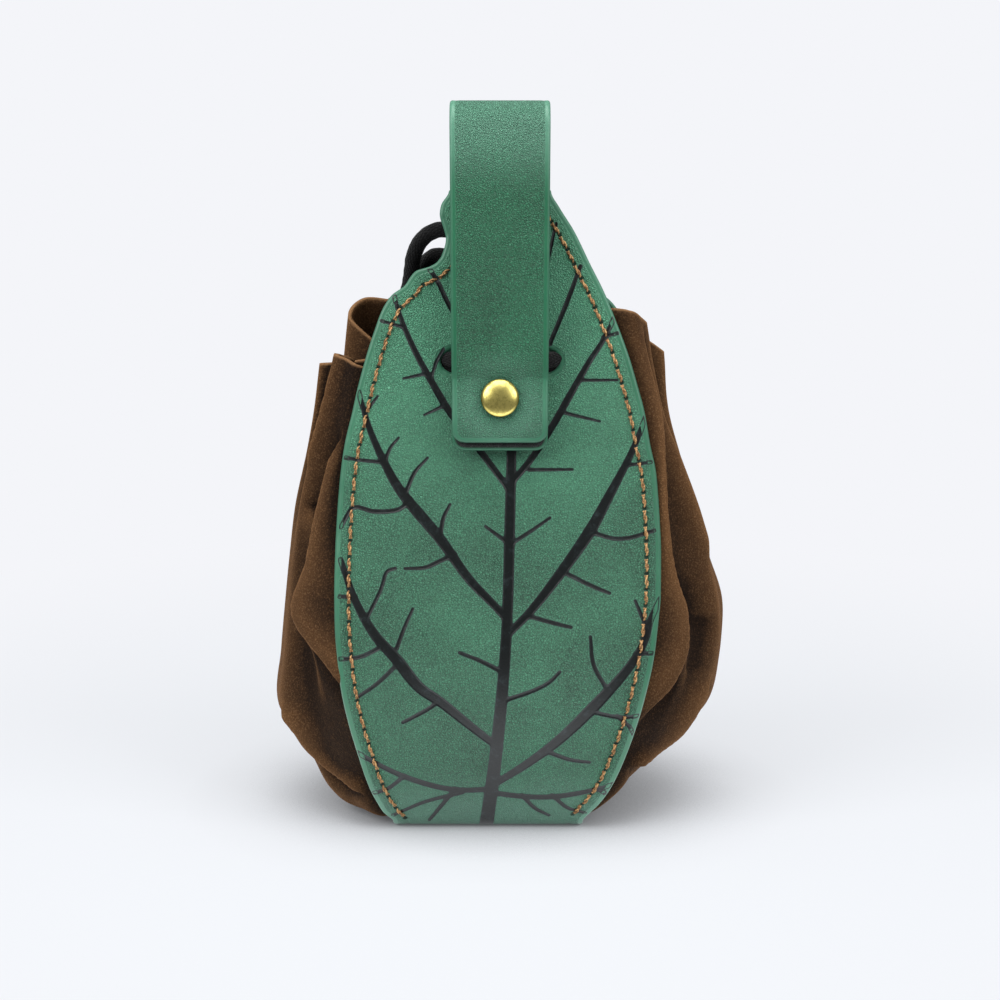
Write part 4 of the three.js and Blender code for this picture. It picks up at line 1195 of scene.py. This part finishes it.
# Flat grid of a strap layer, finer towards its rim, and each spot's distance to the rim
def strapGrid(total, halfAt):
    start = rimRows[-1] + 0.8
    middle = np.linspace(start, total - start, int((total - 2 * start) / loopSizes["rowStep"]))
    s = np.concatenate([rimRows, middle, total - rimRows[::-1]])
    half = halfAt(s)[:, None]
    inside = np.linspace(0, 1, loopSizes["innerColumns"] + 2)[None, 1:-1]
    span = half - rimColumns[-1]
    across = np.concatenate([-half + rimColumns, -span + 2 * span * inside, half - rimColumns[::-1]], axis=1)
    flat = np.stack([across, np.repeat(s[:, None], across.shape[1], axis=1)], axis=-1)
    rim = np.linspace(0, total, 500)
    side = np.stack([-halfAt(rim), rim], axis=1)
    ring = evenly(np.concatenate([side, (side * (-1, 1))[::-1], side[:1]]), 0.5)
    edge = distanceTo(flat.reshape(-1, 2), ring).reshape(flat.shape[:2])
    edge[[0, -1]] = 0
    edge[:, [0, -1]] = 0
    return flat, edge.ravel()


# Pressed line along the rim, hollow under the cap, and painted light where the curved strap catches more
# light: a ring round the cap, towards its end and on top of the fold
def strapPressAndLight(x, down, edge):
    away = np.hypot(x, down - alongLeaf(loopSizes["snapHeight"]))
    press = loopSizes["pressDepth"] * np.exp(-((edge - loopSizes["pressLine"]) / 0.5) ** 2)
    press += loopSizes["snapHollow"] * np.exp(-(away / 7.6) ** 4)
    haloPaint = loopSizes["haloLightPaint"] * np.exp(-((away - 9.5) / 4.5) ** 2)
    haloPaint += loopSizes["endLightPaint"] * smooth(down, alongLeaf(150), alongLeaf(132))
    return press, np.where(away < 6, 0, np.maximum(haloPaint, loopSizes["topLightPaint"] * smooth(down, 24, 0)))


def strapLayer(name, node, tuck, endDown, inner, outerLayer):
    path = loopPath(tuck, endDown)
    length = runLength(path[:, :2])
    total, thick = length[-1], leafSizes["thick"]
    along = unit(np.gradient(path[:, :2], length, axis=0))

    def halfAt(at):
        down = np.interp(at, length, path[:, 2])
        half = (loopSizes["topWidth"] + (loopSizes["endWidth"] - loopSizes["topWidth"]) * down / endDown) / 2
        corner = loopSizes["corner"]
        short = np.clip(corner - (total - at), 0, corner)
        return half - corner + np.sqrt(corner ** 2 - short ** 2)

    def place(x, at, depth):
        y, z = np.interp(at, length, path[:, 0]), np.interp(at, length, path[:, 1])
        dy, dz = np.interp(at, length, along[:, 0]), np.interp(at, length, along[:, 1])
        out = inner + thick - depth
        return np.stack([x, y + out * dz, z - out * dy], axis=-1)

    flat, edge = strapGrid(total, halfAt)
    down = np.interp(flat[..., 1].ravel(), length, path[:, 2])
    # Pressed line and hollow, and painted light, on the facing only
    press, paintedLight = [outerLayer * worn for worn in strapPressAndLight(flat[..., 0].ravel(), down, edge)]
    # The facing is near-black on its back, the lining on its front
    blackFace = 1 if outerLayer else 0
    piece = leatherSlab(name, flat, edge, place, thick, plainLeather, {"paintedLight": paintedLight}, blackFace, press)
    return standsFor(piece, node)


liningLength = alongLeaf(loopSizes["liningEnd"])
strapLayer("strapLining", "strap_lining", 0, liningLength, 0, False)
facingEnd, facingInner = liningLength - loopSizes["facingShort"], leafSizes["thick"] + loopSizes["seat"]
strapLayer("strapFacing", "strap_facing", loopSizes["facingTuck"], facingEnd, facingInner, True)
print("belt loop made")


# ---- snap ----
snapSizes = {"sides": 64, "post": 1.9, "socket": 4.6, "well": 2.8, "wellWall": 0.7, "rise": 2.5, "roll": 0.45}


# Half section of the cap, from the socket's well out over the dome: (radius, height off the leaf)
def capProfile():
    face = loopSizes["snapGap"] + 2 * leafSizes["thick"] + 2 * loopSizes["seat"]
    foot, top = loopSizes["seat"], loopSizes["snapGap"] - loopSizes["seat"]
    radius, roll = loopSizes["capRadius"], snapSizes["roll"]
    wellTop = top - snapSizes["wellWall"]
    profile = [
        (0, wellTop), (snapSizes["well"], wellTop), (snapSizes["well"], foot), (snapSizes["socket"], foot),
        (snapSizes["socket"], top), (snapSizes["post"], top), (snapSizes["post"], face),
        (radius - roll, face),
    ]
    for turn in np.radians(np.linspace(-90, 60, 8)):
        profile.append((radius - roll + roll * math.cos(turn), face + roll + roll * math.sin(turn)))
    crown = face + 2 * roll - 0.06
    for share in np.linspace(0.9, 0, 12):
        profile.append((radius * share, crown + (snapSizes["rise"] - 2 * roll) * (1 - share ** 2) ** 0.8))
    return np.array(profile)


def snapCap():
    profile, sides = capProfile(), snapSizes["sides"]
    turn = np.linspace(0, 2 * math.pi, sides, endpoint=False)[:, None]
    normal = np.array([0, -math.cos(leanTurn), math.sin(leanTurn)])
    up = np.array([0, math.sin(leanTurn), math.cos(leanTurn)])
    around = np.cos(turn) * np.array([1, 0, 0]) + np.sin(turn) * up
    centre = np.array([0, float(profileAt(loopSizes["snapHeight"])[0]), loopSizes["snapHeight"]])
    points = centre + profile[:, None, 1:2] * normal + profile[:, None, 0:1] * around[None]
    rim = np.repeat(profile[:, 0] / loopSizes["capRadius"], sides)
    faces = ringFaces(len(profile), sides)
    piece = meshObject("snapCap", points.reshape(-1, 3), faces, brassFinish, {"rim": rim})
    return standsFor(piece, "snap_cap")


snapCap()
# The stud is hidden between strap and leaf, so its CAD solid stays and only gets the brass
stud = bpy.data.objects["snap_stud"]
stud.data.materials.clear()
stud.data.materials.append(brassFinish)
print("snap made")


# ---- gussets ----
gussetSizes = {
    "reach": 72.5, "bellyDepth": 48, "height": 160, "seamInset": 7, "seamEdge": 1.6, "seamSlack": 0.9,
    "baseInset": 4, "suede": 1.2, "seat": 0.3, "steps": 16, "rearTop": (1.022, 0.988), "ridgeReach": 5,
    # The first pair below: rows, left and right, up to which the strip beside the front seam gets painted
    # shade
    "seamShadeTop": (14, 7.5), "cut": (0.105, 0.165),
}
foldHeights = [0.019, 0.053, 0.125, 0.206, 0.3125, 0.4125, 0.5125, 0.6125, 0.7125, 0.806]

# Folds from the front seam to the rear seam: rim height, place on the base, then [out, back] at each height
leftFolds = [
    (0.92, -0.5, [(0.52, -0.65), (0.58, -0.73), (0.64, -0.75), (0.71, -0.73), (0.79, -0.62), (0.88, -0.5),
        (0.82, -0.52), (0.76, -0.54), (0.7, -0.52), (0.66, -0.48), (0.62, -0.43)]),
    (0.928, -0.4, [(0.59, -0.54), (0.66, -0.6), (0.73, -0.6), (0.8, -0.58), (0.81, -0.48), (0.83, -0.38),
        (0.79, -0.35), (0.76, -0.38), (0.73, -0.42), (0.7, -0.41), (0.66, -0.38)]),
    (0.936, -0.3, [(0.66, -0.42), (0.75, -0.44), (0.84, -0.42), (0.95, -0.375), (0.945, -0.31),
        (0.925, -0.27), (0.9, -0.25), (0.88, -0.26), (0.835, -0.29), (0.79, -0.3), (0.72, -0.29)]),
    (0.918, -0.19, [(0.68, -0.27), (0.77, -0.27), (0.87, -0.25), (0.985, -0.23), (0.97, -0.17),
        (0.95, -0.15), (0.925, -0.135), (0.88, -0.145), (0.8, -0.165), (0.73, -0.18), (0.64, -0.18)]),
    (0.905, -0.06, [(0.69, -0.1), (0.785, -0.08), (0.877, -0.06), (1.0, -0.04), (0.987, 0), (0.965, 0),
        (0.94, 0), (0.91, -0.02), (0.86, -0.04), (0.82, -0.05), (0.79, -0.06)]),
    (0.922, 0.12, [(0.69, 0.1), (0.77, 0.125), (0.855, 0.165), (0.965, 0.165), (0.965, 0.19), (0.95, 0.19),
        (0.917, 0.165), (0.855, 0.125), (0.73, 0.08), (0.615, 0.06), (0.525, 0.04)]),
    (0.992, 0.31, [(0.65, 0.35), (0.72, 0.395), (0.785, 0.44), (0.87, 0.46), (0.9, 0.46), (0.895, 0.44),
        (0.875, 0.42), (0.84, 0.375), (0.785, 0.29), (0.725, 0.23), (0.67, 0.165)]),
    (1.022, 0.48, [(0.58, 0.56), (0.635, 0.645), (0.69, 0.73), (0.76, 0.79), (0.79, 0.79), (0.8, 0.75),
        (0.79, 0.69), (0.77, 0.6), (0.73, 0.5), (0.67, 0.42), (0.61, 0.31)]),
]
rightFolds = [
    (1.024, -0.5, [(0.37, -0.625), (0.46, -0.71), (0.59, -0.75), (0.66, -0.75), (0.82, -0.625),
        (0.79, -0.6), (0.74, -0.61), (0.715, -0.58), (0.69, -0.52), (0.66, -0.46), (0.56, -0.4)]),
    (1.01, -0.4, [(0.385, -0.52), (0.475, -0.58), (0.635, -0.6), (0.745, -0.625), (0.83, -0.5),
        (0.815, -0.42), (0.78, -0.44), (0.745, -0.43), (0.7, -0.42), (0.67, -0.385), (0.6, -0.345)]),
    (0.992, -0.3, [(0.4, -0.375), (0.5, -0.42), (0.69, -0.42), (0.855, -0.42), (0.94, -0.33), (0.96, -0.27),
        (0.91, -0.25), (0.85, -0.26), (0.77, -0.27), (0.7, -0.28), (0.63, -0.24)]),
    (1.0, -0.19, [(0.415, -0.23), (0.515, -0.23), (0.715, -0.23), (0.91, -0.23), (0.98, -0.165),
        (0.98, -0.125), (0.925, -0.125), (0.84, -0.125), (0.75, -0.135), (0.65, -0.12), (0.505, -0.05)]),
    (0.925, -0.06, [(0.42, -0.06), (0.525, -0.04), (0.73, -0.04), (0.94, -0.04), (0.987, 0), (1.0, 0.02),
        (0.93, 0.02), (0.865, 0), (0.8, 0), (0.745, 0), (0.72, 0.02)]),
    (0.938, 0.12, [(0.42, 0.125), (0.52, 0.145), (0.725, 0.165), (0.917, 0.19), (0.97, 0.19), (0.97, 0.19),
        (0.91, 0.18), (0.81, 0.165), (0.69, 0.165), (0.59, 0.165), (0.54, 0.155)]),
    (0.975, 0.31, [(0.4, 0.35), (0.49, 0.42), (0.675, 0.46), (0.83, 0.48), (0.9, 0.48), (0.905, 0.46),
        (0.86, 0.43), (0.815, 0.385), (0.75, 0.345), (0.69, 0.31), (0.64, 0.28)]),
    (0.988, 0.48, [(0.38, 0.54), (0.45, 0.645), (0.59, 0.73), (0.69, 0.79), (0.77, 0.8), (0.79, 0.77),
        (0.78, 0.7), (0.75, 0.625), (0.7, 0.53), (0.65, 0.45), (0.585, 0.375)]),
]


def seamPoint(side, height, inset, rear):
    edge = rearEdgeAt(side, height) if rear < 0 else edgeAt(side, height)
    slack = gussetSizes["seamSlack"] if inset < gussetSizes["seamInset"] else gussetSizes["seat"]
    depth = leafSizes["thick"] + gussetSizes["seat"] + gussetSizes["suede"] / 2 + slack
    return leafPoint(np.array(side * (edge - inset)), height, depth, rear)


def gussetControl(side, folds, frontTop):
    tall, reach, belly = gussetSizes["height"], gussetSizes["reach"], gussetSizes["bellyDepth"]
    baseEdge = (leafSizes["baseLeft"] if side < 0 else leafSizes["baseRight"]) - gussetSizes["baseInset"]
    onBase = leafSizes["thick"] + 2 * gussetSizes["seat"] + gussetSizes["suede"] / 2
    half = leafSizes["baseDepth"] / 2 - gussetSizes["seat"]
    acrossBase = [-half, -0.93 * half, *[fold[1] * belly for fold in folds], 0.93 * half, half]
    rows = [[(side * baseEdge, y, onBase) for y in acrossBase]]
    inset, lip = gussetSizes["seamInset"], gussetSizes["seamEdge"]
    for r in range(len(foldHeights) + 1):
        atRim = r == len(foldHeights)
        share = 1 if atRim else max(foldHeights[r], 0.03)
        front = tall * (frontTop if atRim else share)
        rear = tall * (gussetSizes["rearTop"][side > 0] if atRim else share)
        row = [seamPoint(side, front, inset, 1), seamPoint(side, front, lip, 1)]
        for rim, base, path in folds:
            height = rim if atRim else foldHeights[r]
            row.append((side * reach * path[r][0], belly * path[r][1], tall * height))
        row += [seamPoint(side, rear, lip, -1), seamPoint(side, rear, inset, -1)]
        rows.append([tuple(map(float, point)) for point in row])
    return np.array(rows)


def sheetNormals(grid):
    return unit(np.cross(np.gradient(grid, axis=1), np.gradient(grid, axis=0)))


# Folds: a ridge that drops off sharply to the left of its line into a valley. Columns: ridge height,
# valley depth, width of the ridge, of the drop and of the valley, and points (column, row) in control steps
leftCreases = [
    (3.0, 5.5, 6, 1.4, 5, [(1.9, 9.9), (2.3, 9.0), (2.1, 8.0), (1.9, 7.2), (1.95, 6.3), (1.6, 5.8),
        (1.2, 5.3), (0.85, 4.9), (0.5, 4.4)]),
    (2.4, 5.5, 3, 0.9, 2.5, [(2.3, 5.3), (2.6, 6.0), (3.0, 6.6), (3.1, 7.2), (3.2, 7.7), (3.5, 8.05),
        (3.9, 8.15)]),
    (1.0, 2.5, 2, 0.7, 2, [(5.4, 11.3), (5.4, 10.1), (5.4, 9.3), (5.3, 8.7)]),
    (0.8, 2.5, 2, 0.8, 2.5, [(3.6, 11.3), (3.7, 10.4), (3.9, 9.6), (4.2, 8.9)]),
    (2.0, 5.0, 5, 1.4, 6, [(4.3, 4.2), (3.8, 3.7), (3.7, 3.2), (3.2, 2.8), (2.4, 2.6), (1.7, 2.3)]),
]
rightCreases = [
    (2.6, 7.0, 5, 1.4, 6, [(3.0, 11), (2.8, 10.6), (2.4, 10.2), (2.0, 9.5), (1.8, 8.8), (1.7, 8.2),
        (1.7, 7.5), (1.85, 6.9), (2.0, 6.3), (1.85, 5.7), (1.6, 5.2), (1.4, 4.7), (1.1, 4.3), (0.7, 4.1)]),
    (2.0, 5.0, 5, 1.4, 5, [(4.9, 10.9), (4.7, 10.4), (4.5, 9.8), (4.3, 9.2), (4.2, 8.6), (4.25, 8.0),
        (4.5, 7.4), (5.0, 6.9)]),
    (0.0, 2.5, 4, 2.5, 6, [(2.9, 6.0), (2.9, 5.5), (2.6, 4.9)]),
    (2.0, 5.0, 5, 1.4, 6, [(4.2, 4.7), (3.9, 4.3), (3.8, 4.0), (3.7, 3.6), (2.8, 3.3), (1.4, 3.1)]),
]
cellSize = np.array([7.0, 15.0])


def foldRelief(rows, columns, creases, steps):
    r, c = np.meshgrid(np.arange(rows) / steps, np.arange(columns) / steps, indexing="ij")
    spots = np.stack([c.ravel(), r.ravel()], axis=1) * cellSize
    relief = np.zeros(len(spots))
    for lift, sink, ridge, drop, valley, points in creases:
        line = evenly(through(np.array(points) * cellSize, 6), 0.3)
        along = np.gradient(line, axis=0)
        nearest = np.zeros(len(spots), int)
        for part in slices(len(spots)):
            nearest[part] = np.linalg.norm(spots[part, None] - line[None], axis=2).argmin(1)
        away, way = spots - line[nearest], along[nearest]
        left = np.sign(way[:, 0] * away[:, 1] - way[:, 1] * away[:, 0])
        gap = np.linalg.norm(away, axis=1) * left
        share = nearest / (len(line) - 1)
        fade = smooth(share, 0, 0.15) * (1 - smooth(share, 0.85, 1))
        fall = np.exp(-(gap / drop) ** 2)
        raised = lift * np.where(gap < 0, np.exp(-(gap / ridge) ** 2), fall)
        sunk = np.where(gap > 0, sink * (1 - fall) * np.exp(-(gap / valley) ** 2), 0)
        relief += fade * (raised - sunk)
    return relief.reshape(rows, columns)


def smoothed(grid, reach):
    for axis in (0, 1):
        spacing = np.linalg.norm(np.diff(grid, axis=axis), axis=2).mean()
        size = int(3 * reach / spacing)
        weights = np.exp(-0.5 * (np.arange(-size, size + 1) * spacing / reach) ** 2)
        moved = np.moveaxis(grid, axis, 0)
        ends = np.repeat(moved[:1], size, axis=0), np.repeat(moved[-1:], size, axis=0)
        padded = np.concatenate([ends[0], moved, ends[1]])
        total = sum(weight * padded[k:k + len(moved)] for k, weight in enumerate(weights / weights.sum()))
        grid = np.moveaxis(total, 0, axis)
    return grid


# How far each spot stands out of the sheet around it; the strip beside the front seam counts as a hollow. The
# suede's colour takes painted light on ridges and painted shade in hollows from it
def foldLightAndShade(grid, normals, steps, seamShadeTop):
    height = ((grid - smoothed(grid, gussetSizes["ridgeReach"])) * normals).sum(2)
    row, column = np.arange(grid.shape[0])[:, None] / steps, np.arange(grid.shape[1])[None] / steps
    hollow = (1 - smooth(column, 1.2, 4.2)) * (1 - smooth(row, seamShadeTop - 2, seamShadeTop))
    return np.clip(height, -3, 3) - 1.5 * hollow


# A wall of suede between the sheet's two offset faces, closed all round
def wallFaces(rows, columns):
    count = rows * columns
    faces = [gridFaces(rows, columns), gridFaces(rows, columns, count, True)]
    bottom, left = np.arange(columns), np.arange(rows) * columns
    for ring in (bottom, bottom + (rows - 1) * columns, left, left + columns - 1):
        faces.append(np.stack([ring[:-1], ring[1:], ring[1:] + count, ring[:-1] + count], axis=1))
    return np.concatenate(faces)


def gusset(name, node, side, folds, frontTop, creases):
    steps = gussetSizes["steps"]
    grid = through(gussetControl(side, folds, frontTop), steps)
    grid = through(grid.transpose(1, 0, 2), steps).transpose(1, 0, 2)
    rows, columns = grid.shape[:2]
    relief = foldRelief(rows, columns, creases, steps)
    grid = grid + sheetNormals(grid) * side * relief[..., None]
    normals = sheetNormals(grid) * side
    half = normals * gussetSizes["suede"] / 2
    points = np.concatenate([(grid + half).reshape(-1, 3), (grid - half).reshape(-1, 3)])
    climb = np.linalg.norm(np.diff(grid, axis=0), axis=2)
    fromRim = np.concatenate([np.cumsum(climb[::-1], axis=0)[::-1], np.zeros((1, columns))])
    # Painted light on ridges and painted shade in hollows and beside the front seam, for the suede's colour
    ridge = foldLightAndShade(grid, normals, steps, gussetSizes["seamShadeTop"][side > 0])
    values = {"edge": np.tile(np.clip(fromRim, 0, 20).ravel(), 2), "fold": np.tile(ridge.ravel(), 2)}
    piece = meshObject(name, points, wallFaces(rows, columns), suedeFinish, values)
    standsFor(piece, node)
    return piece


gusset("gussetLeft", "gusset_left", -1, leftFolds, 0.92, leftCreases)
gusset("gussetRight", "gusset_right", 1, rightFolds, 1.034, rightCreases)
print("gussets made")

# ---- drawstring pieces stand for their CAD nodes ----
for piece, node in ((drawstringRun, "drawstring_run"), (outerTail, "drawstring_outer_tail"),
                    (innerTail, "drawstring_inner_tail"), (drawstringKnot, "drawstring_knot")):
    standsFor(piece, node)
